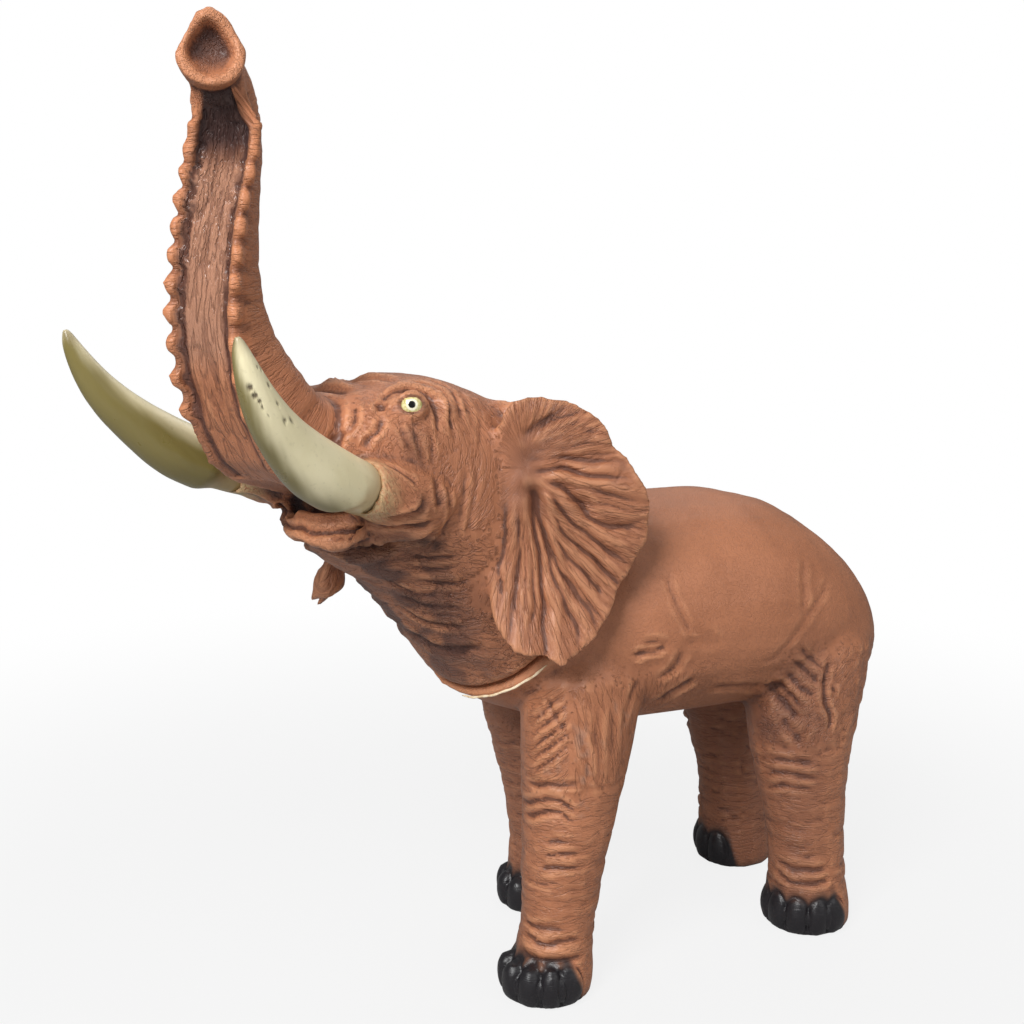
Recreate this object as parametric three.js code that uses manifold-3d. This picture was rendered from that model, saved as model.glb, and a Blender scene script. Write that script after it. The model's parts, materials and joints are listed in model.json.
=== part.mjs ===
// A soft vinyl toy elephant with its trunk raised. A hollow head casting plugs into the neck
// opening of a hollow body casting and turns there. The tusks, the eyes and the tail are pushed
// into sockets, and both castings are stuffed with loose fibre.
// Millimetres, +Z up. The elephant faces -Y, its left side is +X, and its soles stand on z = 0.
import * as THREE from "three";
import { mergeVertices } from "three/addons/utils/BufferGeometryUtils.js";
import Module from "manifold-3d";

const wasm = await Module();
wasm.setup();

// Driving dimensions of the body.
const backHeight = 177; // floor to the top of the back
const bodyLength = 161; // centre of the neck opening to the end of the rump
const bodyWidth = 100; // across the ribs
const legHeight = 145; // sole to the top of the shoulder blade
const soleLength = 36; // heel to toe of one foot
const soleWidth = 34;
const stanceWidth = 62; // between the middles of a left and a right sole
const shoulderAhead = 48; // shoulder, ahead of the middle of the four feet
const hipBehind = 52; // hip, behind the middle of the four feet

// Driving dimensions of the neck joint. The neck faces forward, up and a little to the left.
const neckRadius = 39.5;
const neckHeight = 142.5; // floor to the middle of the neck opening
const neckAhead = 69.5;
const neckRight = 0.8;
const neckRise = 37.5; // degrees above level
const neckTurn = 17; // degrees to the elephant's left
const neckBore = 29; // radius of the opening in the body's neck face
const plugLip = 3.5; // how far the plug's flange reaches past the opening
const plugLipThick = 3;
const plugWall = 5;

// Driving dimensions of the head, in the head's own frame.
const headTurn = 23.5; // degrees to the elephant's left
const headLift = 227; // floor to the crown
const headAhead = 102.2; // head frame's middle, ahead of the middle of the feet
const headDepth = 100; // nape to muzzle
const headHeight = 60; // crown to jaw
const headWidth = 72;
const trunkLength = 140; // trunk root to trunk tip, straight
const trunkWidth = 34; // at the root
const earWidth = 60;
const earHeight = 97;
const earMiddle = 172; // floor to the middle of an ear
const earRootOut = 37; // ear root, out from the head's middle
const earRootAhead = 6;
const earSweep = 47; // degrees that an ear sweeps back from straight out
const earThick = 4.6;
const tuskSpread = 42.5; // tusk tip, out from the head's middle
const tuskReach = 72; // length of a tusk with its peg, measured straight ahead
const tuskRise = 54; // tusk tip above its peg
const tuskWidth = 16;
const eyeRadius = 4.6;
const tailDrop = 60;
const tailWidth = 7;

// Walls and running clearances.
const vinylWall = 3;
const seatGap = 0.35; // between a pushed-in piece and its socket
const turnGap = 0.4; // between the faces that turn on each other
const fillGap = 0.6; // between the fibre and the wall round it
const overrun = 4; // how far a cutting tool runs past what it cuts

const degree = Math.PI / 180;
const up = new THREE.Vector3(0, 0, 1);

// Builds one section of a row: where it is, and its half width and half depth as vectors. The
// section looks along the row's way, which rises above level and turns to the elephant's left.
function section(place, halfWidth, halfDepth, rise, turn = 0) {
  const forward = new THREE.Vector3(Math.sin(turn * degree), -Math.cos(turn * degree), 0);
  const across = new THREE.Vector3(Math.cos(turn * degree), Math.sin(turn * degree), 0);
  const way = forward.clone().multiplyScalar(Math.cos(rise * degree));
  way.addScaledVector(up, Math.sin(rise * degree));
  const top = forward.clone().multiplyScalar(-Math.sin(rise * degree));
  top.addScaledVector(up, Math.cos(rise * degree));
  return { place, way, across, top, halfWidth, halfDepth };
}

// Makes a smooth run through a row of points, read at a share from 0 to 1.
function smoothRun(points) {
  return new THREE.CatmullRomCurve3(points, false, "catmullrom", 0.5);
}

const roundOutline = (turnShare) => {
  const angle = 2 * Math.PI * turnShare;
  return [Math.cos(angle), Math.sin(angle)];
};

// Makes an outline function from a few points, given as shares of the half width and depth.
function outlineThrough(pointShares) {
  const points = pointShares.map(([across, top]) => new THREE.Vector3(across, top, 0));
  const curve = new THREE.CatmullRomCurve3(points, true, "catmullrom", 0.5);
  return (turnShare) => {
    const point = curve.getPoint(turnShare % 1);
    return [point.x, point.y];
  };
}

// Turns a geometry into a closed solid whose faces point out.
function solidOf(geometry) {
  const bare = geometry.index ? geometry.toNonIndexed() : geometry.clone();
  bare.deleteAttribute("normal");
  bare.deleteAttribute("uv");
  const merged = mergeVertices(bare);
  const corners = merged.attributes.position;
  const triangles = Array.from(merged.index.array);
  const [a, b, c] = [new THREE.Vector3(), new THREE.Vector3(), new THREE.Vector3()];
  let volume = 0;
  const kept = [];
  for (let i = 0; i < triangles.length; i += 3) {
    const [ia, ib, ic] = triangles.slice(i, i + 3);
    if (ia === ib || ib === ic || ic === ia) continue;
    a.fromBufferAttribute(corners, ia);
    b.fromBufferAttribute(corners, ib);
    c.fromBufferAttribute(corners, ic);
    volume += a.dot(b.cross(c));
    kept.push(ia, ib, ic);
  }
  if (volume < 0) kept.reverse();
  return new wasm.Manifold(new wasm.Mesh({
    numProp: 3,
    vertProperties: new Float32Array(corners.array),
    triVerts: new Uint32Array(kept),
  }));
}

// Wraps a closed skin round a row of sections, with a flat face at each end. It bends the wall
// of a unit cylinder: the height on the cylinder is the way along the row.
function loft(sections, sides, rings, outlineAt = roundOutline) {
  const places = smoothRun(sections.map((s) => s.place));
  const acrosses = smoothRun(sections.map((s) => s.across.clone().multiplyScalar(s.halfWidth)));
  const tops = smoothRun(sections.map((s) => s.top.clone().multiplyScalar(s.halfDepth)));
  const skin = new THREE.CylinderGeometry(1, 1, 1, sides, rings);
  const corners = skin.attributes.position;
  const corner = new THREE.Vector3();
  for (let i = 0; i < corners.count; i += 1) {
    corner.fromBufferAttribute(corners, i);
    const along = THREE.MathUtils.clamp(0.5 - corner.y, 0, 1);
    const reach = Math.hypot(corner.x, corner.z);
    const turnShare = (Math.atan2(corner.z, corner.x) / (2 * Math.PI) + 1) % 1;
    const [acrossShare, topShare] = outlineAt(turnShare, along);
    const point = places.getPoint(along);
    point.addScaledVector(acrosses.getPoint(along), reach * acrossShare);
    point.addScaledVector(tops.getPoint(along), reach * topShare);
    corners.setXYZ(i, point.x, point.y, point.z);
  }
  return solidOf(skin);
}

// Shrinks a row of sections by an inset, and draws in its first and last section.
function inset(sections, wall, startWall = wall, endWall = wall) {
  return sections.map((s, i) => {
    const shift = i === 0 ? startWall : i === sections.length - 1 ? -endWall : 0;
    const along = sections[Math.min(i + 1, sections.length - 1)].place.clone();
    along.sub(sections[Math.max(i - 1, 0)].place).normalize();
    return {
      ...s,
      place: s.place.clone().addScaledVector(along, shift),
      halfWidth: Math.max(s.halfWidth - wall, s.halfWidth / 3),
      halfDepth: Math.max(s.halfDepth - wall, s.halfDepth / 3),
    };
  });
}

// Lays a turned piece along an axis: the profile's height runs from the start along the way.
function turned(profile, start, way, sides) {
  const geometry = new THREE.LatheGeometry(profile, sides);
  const aim = new THREE.Quaternion().setFromUnitVectors(new THREE.Vector3(0, 1, 0), way);
  geometry.applyQuaternion(aim);
  geometry.translate(start.x, start.y, start.z);
  return solidOf(geometry);
}

const radial = (radius, height) => new THREE.Vector2(radius, height);

// A plain round bar from a start height to an end height on an axis.
function bar(radius, from, to, start, way, sides) {
  return turned([radial(0, from), radial(radius, from), radial(radius, to), radial(0, to)],
    start, way, sides);
}

const unite = (solids) => solids.reduce((joined, solid) => joined.add(solid));
const cut = (solid, tools) => tools.reduce((left, tool) => left.subtract(tool), solid);
// Keeps a casting's main body, without the crumbs that cuts leave where two hollows meet.
const mainBody = (solid) => solid.decompose().reduce((most, piece) =>
  (piece.volume() > most.volume() ? piece : most));

function meshOf(name, solid, material) {
  const made = solid.getMesh();
  const geometry = new THREE.BufferGeometry();
  geometry.setAttribute("position", new THREE.BufferAttribute(made.vertProperties, 3));
  geometry.setIndex(new THREE.BufferAttribute(made.triVerts, 1));
  geometry.computeVertexNormals();
  const mesh = new THREE.Mesh(geometry, material);
  mesh.name = name;
  return mesh;
}

// Materials.
const plastic = (color, roughness) =>
  new THREE.MeshStandardMaterial({ color, roughness, metalness: 0 });
const brownVinyl = plastic(0xa97153, 0.62);
const ivoryPlastic = plastic(0xb8ac7c, 0.4);
const eyePlastic = plastic(0xd8c27a, 0.15);
const whiteFibre = plastic(0xe8e6e0, 0.95);

// The frames of the neck joint and of the head.
const neckCentre = new THREE.Vector3(-neckRight, -neckAhead, neckHeight);
const neckFace = section(neckCentre, neckRadius, neckRadius, neckRise, neckTurn);
const headGroup = new THREE.Group();
headGroup.position.set(0, -headAhead, 0);
headGroup.rotation.z = headTurn * degree;
headGroup.updateMatrixWorld(true);
const toHead = (point) => headGroup.worldToLocal(point.clone());
const neckCentreInHead = toHead(neckCentre);
const neckFaceInHead = section(neckCentreInHead, neckRadius, neckRadius, neckRise,
  neckTurn - headTurn);

// Torso. Each row: how far back from the neck, then its middle's height, its width and its
// depth as shares of the body's sizes, and the rise and turn of its front in degrees.
const torsoShares = [
  [0.11, 0.785, 0.9, 0.492, 22, 9],
  [0.24, 0.76, 0.97, 0.488, 9, 3],
  [0.41, 0.757, 1, 0.492, 0, 0],
  [0.57, 0.752, 1, 0.487, 0, 0],
  [0.7, 0.738, 0.96, 0.456, 0, 0],
  [0.81, 0.71, 0.87, 0.395, 0, 0],
  [0.9, 0.673, 0.74, 0.33, 0, 0],
  [0.965, 0.64, 0.53, 0.24, 0, 0],
  [1, 0.62, 0.28, 0.13, 0, 0],
];
const torsoSections = [neckFace].concat(torsoShares.map(([along, middle, wide, deep, rise, turn]) =>
  section(new THREE.Vector3(-neckRight * (1 - along) ** 2, along * bodyLength - neckAhead,
    middle * backHeight), wide * bodyWidth / 2, deep * backHeight / 2, rise, turn)));

// Legs, from the sole up. Each row: height as a share of the leg, how much of the way from foot
// to shoulder or hip it has gone, how much of the leg's bow it has, its width and its depth.
const frontLegShares = [
  [0, 0, 0, 0.9, 0.92],
  [0.05, 0, 0, 0.97, 0.97],
  [0.14, 0.2, 0.8, 0.8, 0.76],
  [0.33, 0.35, 1, 0.86, 0.87],
  [0.46, 0.5, 0.6, 0.98, 0.98],
  [0.7, 0.75, 0, 1.12, 1.24],
  [0.84, 0.92, 0, 1.1, 1.2],
  [0.94, 1, 0, 0.6, 0.6],
];
const rearLegShares = [
  [0, 0, 0, 0.95, 0.95],
  [0.05, 0, 0, 1, 0.98],
  [0.17, 0.05, 0.1, 0.86, 0.86],
  [0.32, 0.1, 0.5, 0.9, 0.9],
  [0.5, 0.25, 1, 1.06, 1.14],
  [0.68, 0.5, 0.7, 1.24, 1.4],
  [0.82, 0.8, 0.3, 1.24, 1.46],
  [0.92, 1, 0, 0.9, 1],
];
// Each leg: its side, its foot's place along the body, its bow, and its top's place.
const frontLeftStep = 67;
const frontRightStep = 39;
const rearLeftStep = 52.5;
const rearRightStep = 61;
const frontRightBow = 4;
const rearBow = -5;
const topInShare = 0.8; // a leg's top leans in to this share of the stance
const legs = [
  { side: 1, foot: -frontLeftStep, top: -shoulderAhead, bow: 0, rows: frontLegShares },
  { side: -1, foot: -frontRightStep, top: -shoulderAhead, bow: frontRightBow, rows: frontLegShares },
  { side: 1, foot: rearLeftStep, top: hipBehind, bow: rearBow, rows: rearLegShares },
  { side: -1, foot: rearRightStep, top: hipBehind, bow: rearBow, rows: rearLegShares },
];
function legSections({ side, foot, top, bow, rows }) {
  return rows.map(([height, carried, bowed, wide, deep]) => {
    const out = stanceWidth / 2 * (1 - (1 - topInShare) * height ** 2);
    const back = foot + (top - foot) * carried + bow * bowed;
    const place = new THREE.Vector3(side * out, back, height * legHeight);
    return section(place, wide * soleWidth / 2, deep * soleLength / 2, 90);
  });
}

// Toenails, five round the outer front of each foot.
const nailTurns = [-26, 6, 38, 71, 106]; // degrees out from straight ahead
const nailWide = 4.2;
const nailDeep = 2.4;
const nailTall = 7;
const nailLift = 7.2; // floor to a nail's middle
const nailInset = 2; // how far its middle lies inside the foot's outline
const nailSides = 8;
const nailRings = 6;
function nails(leg) {
  const [, sole] = legSections(leg);
  return nailTurns.map((turn) => {
    const angle = leg.side * turn * degree;
    const nail = new THREE.SphereGeometry(1, nailSides, nailRings);
    nail.scale(nailWide, nailDeep, nailTall);
    nail.applyMatrix4(new THREE.Matrix4().makeRotationZ(angle).setPosition(
      sole.place.x + Math.sin(angle) * (sole.halfWidth - nailInset),
      sole.place.y - Math.cos(angle) * (sole.halfDepth - nailInset), nailLift));
    return solidOf(nail);
  });
}

// Tail, hanging from the rump. Each row: back from its root, down and across as shares of the
// drop, and thickness. The first row is the peg's end, inside the rump.
const tailShares = [
  [-0.12, -0.04, 0, 0.8],
  [0.03, -0.02, 0, 0.85],
  [0.14, 0.04, -0.02, 1],
  [0.2, 0.22, -0.08, 0.9],
  [0.19, 0.5, -0.15, 0.75],
  [0.17, 0.74, -0.2, 0.75],
  [0.16, 0.86, -0.22, 1.15],
  [0.15, 1, -0.24, 0.4],
];
const tailRise = [0, -10, -45, -80, -90, -90, -90, -90];
const rumpEnd = bodyLength - neckAhead;
const tailHeight = 122;
const tailRoot = new THREE.Vector3(0, rumpEnd - tailWidth, tailHeight);
function tailSections(extra) {
  const row = tailShares.map(([back, down, over, thick], i) => {
    const place = tailRoot.clone();
    place.add(new THREE.Vector3(over * tailDrop, back * tailDrop, -down * tailDrop));
    const half = thick * tailWidth / 2 + extra;
    return section(place, half, half, tailRise[i], 180);
  });
  row[0].place.addScaledVector(row[0].way, -extra);
  return row;
}

// The body casting: torso and legs in one skin, hollow, with a round opening in its neck face.
const torsoSides = 32;
const torsoRings = 16;
const legSides = 16;
const legRings = 12;
const hollowSides = 14;
const hollowRings = 8;
const legHollowSides = 8;
const legHollowRings = 5;
const bodySkin = unite([loft(torsoSections, torsoSides, torsoRings)].concat(
  legs.map((leg) => loft(legSections(leg), legSides, legRings)), legs.flatMap(nails)));
function bodyHollow(wall, neckWall) {
  const torso = loft(inset(torsoSections, wall, neckWall), hollowSides, hollowRings);
  const legHollows = legs.map((leg) =>
    loft(inset(legSections(leg), wall), legHollowSides, legHollowRings));
  return unite([torso].concat(legHollows));
}
const neckOut = neckFace.way;
const neckSides = 32;
const bossSides = 10;
const bossRings = 3;
const tailBossSections = tailSections(vinylWall).slice(0, 3);
tailBossSections[2].halfWidth = tailWidth / 2;
tailBossSections[2].halfDepth = tailWidth / 2;
const tailBoss = loft(tailBossSections, bossSides, bossRings);
const tailSides = 10;
const tailRings = 12;
const tailSocket = loft(tailSections(seatGap), tailSides, tailRings);
const grooveEnd = vinylWall + turnGap; // the plug's groove and flange, back from the neck face
const flangeEnd = grooveEnd + plugLipThick;
const flangeRadius = neckBore + plugLip;
const flangeRoom = bar(flangeRadius + turnGap, -flangeEnd - fillGap, -vinylWall, neckCentre,
  neckOut, neckSides);
const bodyShell = cut(
  cut(bodySkin, [bodyHollow(vinylWall, vinylWall)]).add(tailBoss),
  [tailSocket, flangeRoom,
    bar(neckBore, -vinylWall - overrun, overrun, neckCentre, neckOut, neckSides)]);

// The head's skull and neck. Each row: the top and bottom of its outline, back from the muzzle
// and up from the crown as shares of the head's depth and height, and its width.
const muzzleAhead = 64; // muzzle, ahead of the head frame's middle
const skullShares = [
  [1, -0.47, 0.56, -1.6, 1.06],
  [0.88, -0.25, 0.425, -1.31, 1.03],
  [0.71, -0.1, 0.32, -1.11, 1.02],
  [0.54, -0.01, 0.26, -0.92, 0.98],
  [0.37, -0.01, 0.19, -0.7, 0.92],
  [0.22, -0.07, 0.14, -0.58, 0.8],
  [0.13, -0.15, 0.06, -0.5, 0.6],
];
const skullSections = [neckFaceInHead].concat(skullShares.map(
  ([topBack, topUp, lowBack, lowUp, wide], i) => {
    const y = (back) => back * headDepth - muzzleAhead;
    const z = (lift) => headLift + lift * headHeight;
    const high = new THREE.Vector3(0, y(topBack), z(topUp));
    const low = new THREE.Vector3(0, y(lowBack), z(lowUp));
    const middle = high.clone().add(low).divideScalar(2);
    const straight = (i + 1) / skullShares.length;
    middle.x = neckCentreInHead.x * (1 - straight) ** 2;
    const lean = high.clone().sub(low);
    const rise = Math.atan2(lean.y, lean.z) / degree;
    return section(middle, wide * headWidth / 2, lean.length() / 2, rise,
      (neckTurn - headTurn) * (1 - straight) ** 2);
  }));
const skullOutlineCurve = outlineThrough([
  [1, 0], [0.95, 0.45], [0.66, 0.88], [0, 1], [-0.66, 0.88], [-0.95, 0.45],
  [-1, 0], [-0.88, -0.5], [-0.52, -0.88], [0, -1], [0.52, -0.88], [0.88, -0.5],
]);
const neckRoundShare = 0.3; // the neck is round over this share of the skull's row
function skullOutline(turnShare, along) {
  const blend = THREE.MathUtils.smoothstep(along, 0, neckRoundShare);
  const [roundAcross, roundTop] = roundOutline(turnShare);
  const [skullAcross, skullTop] = skullOutlineCurve(turnShare);
  return [THREE.MathUtils.lerp(roundAcross, skullAcross, blend),
    THREE.MathUtils.lerp(roundTop, skullTop, blend)];
}

// The trunk, from inside the face to the tip. Each row: out to the left, ahead of and above its
// root as shares of the trunk's length, its width and depth, and its rise and turn in degrees.
const trunkRootAhead = 36;
const trunkRootLift = 199;
const trunkShares = [
  [0, 0, 0, 1.1, 1, 25, 0],
  [0, 0.185, 0.06, 1.05, 1.1, 45, 0],
  [0.004, 0.278, 0.186, 0.9, 0.96, 60, 5],
  [0.007, 0.327, 0.314, 0.75, 0.74, 80, 15],
  [0.021, 0.345, 0.436, 0.66, 0.63, 90, 25],
  [0.035, 0.343, 0.557, 0.61, 0.58, 92, 32],
  [0.062, 0.341, 0.671, 0.56, 0.53, 88, 39],
  [0.086, 0.356, 0.757, 0.49, 0.46, 65, 46],
  [0.112, 0.39, 0.818, 0.46, 0.45, 35, 51],
  [0.138, 0.425, 0.838, 0.46, 0.5, 8, 54],
  [0.143, 0.431, 0.838, 0.46, 0.5, 4, 55],
];
const trunkPlaces = (shares) => shares.map(([left, ahead, lift, wide, deep, rise, turn]) =>
  section(new THREE.Vector3(left * trunkLength, -trunkRootAhead - ahead * trunkLength,
    trunkRootLift + lift * trunkLength), wide * trunkWidth / 2, deep * trunkWidth / 2,
  rise, turn));
const trunkSections = trunkPlaces(trunkShares);
// Its outline is round on the back and flat under, between two long ridges.
const trunkOutline = outlineThrough([
  [1, 0], [0.93, 0.5], [0.6, 0.87], [0, 1], [-0.6, 0.87], [-0.93, 0.5],
  [-1, 0], [-0.99, -0.45], [-0.9, -0.86], [-0.6, -0.78], [0, -0.74], [0.6, -0.78],
  [0.9, -0.86], [0.99, -0.45],
]);
const trunkSides = 28;
const trunkRings = 24;
// Its tip flares into a pear shape, with a finger on top and a thick lip below.
const trunkTipShares = [
  [0.1, 0.372, 0.79, 0.42, 0.42, 50, 46],
  [0.118, 0.395, 0.82, 0.47, 0.48, 32, 50],
  [0.134, 0.417, 0.836, 0.54, 0.61, 16, 53],
  [0.147, 0.434, 0.841, 0.6, 0.72, 6, 55],
  [0.151, 0.439, 0.841, 0.56, 0.68, 6, 55],
];
const trunkTipOutline = outlineThrough([
  [0.97, -0.2], [0.86, 0.18], [0.62, 0.52], [0.42, 0.84], [0, 1], [-0.42, 0.84],
  [-0.62, 0.52], [-0.86, 0.18], [-0.97, -0.2], [-0.84, -0.66], [-0.48, -0.95], [0, -1],
  [0.48, -0.95], [0.84, -0.66],
]);
const nostrilShares = [
  [0.156, 0.445, 0.841, 0.4, 0.5, 6, 55],
  [0.147, 0.434, 0.841, 0.36, 0.45, 6, 55],
  [0.134, 0.417, 0.836, 0.26, 0.32, 16, 53],
  [0.118, 0.395, 0.82, 0.14, 0.16, 32, 50],
];
// Two rows of beads run along its ridges. Each row starts at this share of the trunk's rings.
const beadCount = 16;
const beadStartShare = 0.2;
const beadEndShare = 0.87;
const beadLongShare = 0.0245; // half a bead's length, of the trunk's length
const beadWideShare = 0.018;
const beadSpotShares = [0.85, -0.8]; // on the trunk's outline
const beadSides = 7;
const beadRings = 5;
function beads(side) {
  const run = (take) => smoothRun(trunkSections.map(take));
  const places = run((row) => row.place);
  const acrossRun = run((row) => row.across);
  const topRun = run((row) => row.top);
  const sizes = run((row) => new THREE.Vector3(row.halfWidth, row.halfDepth, 0));
  return Array.from({ length: beadCount }, (_, i) => {
    const along = THREE.MathUtils.lerp(beadStartShare, beadEndShare, i / (beadCount - 1));
    const across = acrossRun.getPoint(along).normalize();
    const top = topRun.getPoint(along).normalize();
    const size = sizes.getPoint(along);
    const place = places.getPoint(along);
    place.addScaledVector(across, side * beadSpotShares[0] * size.x);
    place.addScaledVector(top, beadSpotShares[1] * size.y);
    const way = new THREE.Vector3().crossVectors(top, across).normalize();
    const bead = new THREE.SphereGeometry(1, beadSides, beadRings);
    bead.scale(beadWideShare * trunkLength, beadLongShare * trunkLength,
      beadWideShare * trunkLength);
    bead.applyMatrix4(new THREE.Matrix4().makeBasis(across, way, top).setPosition(place));
    return solidOf(bead);
  });
}

// The lower jaw and lip, and the slot of the open mouth above it. Each row: ahead of the head
// frame's middle and down from the crown as shares of the head's sizes, width and depth.
const jawShares = [
  [0.2, -1, 0.66, 0.45, 35],
  [0.33, -0.93, 0.58, 0.36, 30],
  [0.43, -0.87, 0.48, 0.24, 25],
  [0.5, -0.825, 0.34, 0.15, 20],
  [0.55, -0.8, 0.16, 0.09, 15],
];
const jawShift = 3; // the lip sits a little to the left
const mouthShares = [
  [0.38, -0.73, 0.46, 0.02, 25],
  [0.47, -0.68, 0.48, 0.08, 25],
  [0.56, -0.64, 0.46, 0.12, 25],
  [0.68, -0.58, 0.44, 0.16, 25],
];
const headRow = (rows, shift = 0) => rows.map(([ahead, down, wide, deep, rise]) =>
  section(new THREE.Vector3(shift, -ahead * headDepth, headLift + down * headHeight),
    wide * headWidth / 2, deep * headHeight / 2, rise));
const jawSides = 14;
const jawRings = 6;

// Tusks, as a row from the peg's end to the tip. Each row: out as a share of the spread, ahead
// and up as shares of the reach and the rise, thickness, and the rise of its way in degrees.
const tuskRootAhead = 37;
const tuskRootLift = 188.5;
const tuskShares = [
  [0.65, 0, 0, 0.85, 12],
  [0.71, 0.236, 0.093, 0.95, 20],
  [0.785, 0.479, 0.231, 1, 28],
  [0.865, 0.728, 0.448, 0.92, 40],
  [0.945, 0.882, 0.681, 0.68, 54],
  [0.988, 0.965, 0.889, 0.38, 66],
  [0.998, 0.986, 0.972, 0.2, 72],
  [1, 0.993, 1, 0.08, 75],
];
const tuskTurn = 11; // degrees that a tusk splays outward
function tuskSections(side, extra) {
  const row = tuskShares.map(([out, ahead, lift, thick, rise]) => {
    const place = new THREE.Vector3(side * out * tuskSpread,
      -tuskRootAhead - ahead * tuskReach, tuskRootLift + lift * tuskRise);
    const half = thick * tuskWidth / 2 + extra;
    return section(place, half, half, rise, side * tuskTurn);
  });
  row[0].place.addScaledVector(row[0].way, -extra);
  return row;
}
const tuskSides = 14;
const tuskRings = 14;
// The fleshy sleeve that a tusk grows from, as shares along the tusk's own first rows.
const sleeveShares = [
  [-0.14, -0.03, 1.8],
  [0.06, 0.03, 1.6],
  [0.2, 0.08, 1.38],
  [0.29, 0.12, 1.2],
];
const sleeveSplayShare = 0.3;
function sleeve(side) {
  const rows = sleeveShares.map(([ahead, lift, thick]) => {
    const outShare = tuskShares[0][0] + sleeveSplayShare * ahead;
    const place = new THREE.Vector3(side * outShare * tuskSpread,
      -tuskRootAhead - ahead * tuskReach, tuskRootLift + lift * tuskRise);
    const half = thick * tuskWidth / 2;
    return section(place, half, half, tuskShares[1][4], side * tuskTurn);
  });
  return loft(rows, tuskSides, jawRings);
}

// Ears, each a thin fan. The outline's points are shares of the ear's width out from its root
// and of its height from its middle, going round from the root's top.
const earOutlineShares = [
  [0, 0.3], [0.1, 0.47], [0.235, 0.505], [0.36, 0.5], [0.486, 0.484], [0.6, 0.44],
  [0.69, 0.39], [0.722, 0.33], [0.81, 0.28], [0.88, 0.21], [0.936, 0.15], [0.95, 0.05],
  [0.94, -0.02], [0.89, -0.07], [0.81, -0.145], [0.745, -0.19], [0.7, -0.26], [0.58, -0.35],
  [0.44, -0.41], [0.346, -0.434], [0.276, -0.426], [0.245, -0.385], [0.22, -0.4],
  [0.12, -0.388], [0.04, -0.352], [-0.022, -0.276], [-0.035, -0.209], [0, -0.12], [-0.03, 0.1],
];
const earHubShares = [0.2, 0.2]; // the fan's middle
const earRootShares = [0.16, 0.28]; // where its folds start
// The fan's valleys: the way that each runs, in degrees above level, and its depth as a share.
const earValleyShares = [
  [60, 0.5], [36, 0.7], [19, 0.6], [2, 0.9], [-20, 0.8], [-37, 0.9], [-53, 0.8], [-68, 0.7],
  [-84, 1.2], [-98, 0.5],
];
const earFoldDepth = 2.4;
const earFoldSpread = 7; // half a valley's width, in degrees
const earFoldStart = 0.4; // folds reach their full depth this far from their root
const earCup = 7; // how far the rim curls back from the flat
const earLobeFlare = 8; // how far the low lobe stands off the shoulder
const earFrontCurl = 6; // how far the lobe's front half curls ahead of the rest
const earFrontShares = [0.1, 0.45]; // where that half ends, out from the root
const lobeShare = 0.5; // the lobe's end, below the ear's middle
const earSides = 48;
const earRings = 12;
function ear(side) {
  const outline = outlineThrough(earOutlineShares);
  const out = new THREE.Vector3(side * Math.cos(earSweep * degree), Math.sin(earSweep * degree), 0);
  const face = new THREE.Vector3(side * Math.sin(earSweep * degree), -Math.cos(earSweep * degree), 0);
  const root = new THREE.Vector3(side * earRootOut, -earRootAhead, earMiddle);
  const skin = new THREE.SphereGeometry(1, earSides, earRings);
  const corners = skin.attributes.position;
  const corner = new THREE.Vector3();
  for (let i = 0; i < corners.count; i += 1) {
    corner.fromBufferAttribute(corners, i);
    const reach = Math.hypot(corner.x, corner.z);
    const turnShare = (Math.atan2(corner.z, corner.x) / (2 * Math.PI) + 1) % 1;
    const [rimOut, rimUp] = outline(turnShare);
    const outShare = THREE.MathUtils.lerp(earHubShares[0], rimOut, reach);
    const upShare = THREE.MathUtils.lerp(earHubShares[1], rimUp, reach);
    const fromRoot = Math.hypot(outShare - earRootShares[0], upShare - earRootShares[1]);
    const fanAngle = Math.atan2(upShare - earRootShares[1], outShare - earRootShares[0]);
    const valley = earValleyShares.reduce((sum, [way, deep]) => sum
      + deep * Math.exp(-(((fanAngle / degree - way) / earFoldSpread) ** 2)), 0);
    const fold = (0.5 - valley) * THREE.MathUtils.smoothstep(fromRoot, 0, earFoldStart)
      * earFoldDepth;
    const curl = earCup * Math.max(0, outShare - earRootShares[0]) ** 2;
    const flare = earLobeFlare * (Math.max(0, -upShare) / lobeShare) ** 2;
    const point = root.clone().addScaledVector(out, outShare * earWidth);
    point.addScaledVector(up, upShare * earHeight);
    const half = Math.sign(corner.y) * Math.sqrt(Math.abs(corner.y)) * earThick / 2;
    const frontCurl = earFrontCurl * THREE.MathUtils.smoothstep(-upShare, 0, lobeShare)
      * (1 - THREE.MathUtils.smoothstep(outShare, earFrontShares[0], earFrontShares[1]));
    point.addScaledVector(face, half + fold - curl + flare + frontCurl);
    point.x += side * flare;
    corners.setXYZ(i, point.x, point.y, point.z);
  }
  return solidOf(skin);
}

// The fleshy root that joins an ear to the side of the head.
const earRootLift = 187; // floor to the root's middle
const earRootWide = 9;
const earRootDeep = 12;
const earRootTall = 26;
function earRoot(side) {
  const geometry = new THREE.SphereGeometry(1, bossSides, jawRings);
  geometry.scale(earRootWide, earRootDeep, earRootTall);
  geometry.translate(side * (earRootOut - earRootWide / 3), earRootAhead / 2, earRootLift);
  return solidOf(geometry);
}

// Eyes, round beads let into the sides of the brow.
const eyeOut = 29;
const eyeAhead = 33;
const eyeLift = 218.5;
const eyeSides = 12;
const eyeRings = 8;
function ball(side, radius) {
  const geometry = new THREE.SphereGeometry(radius, eyeSides, eyeRings);
  geometry.translate(side * eyeOut, -eyeAhead, eyeLift);
  return solidOf(geometry);
}

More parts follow.
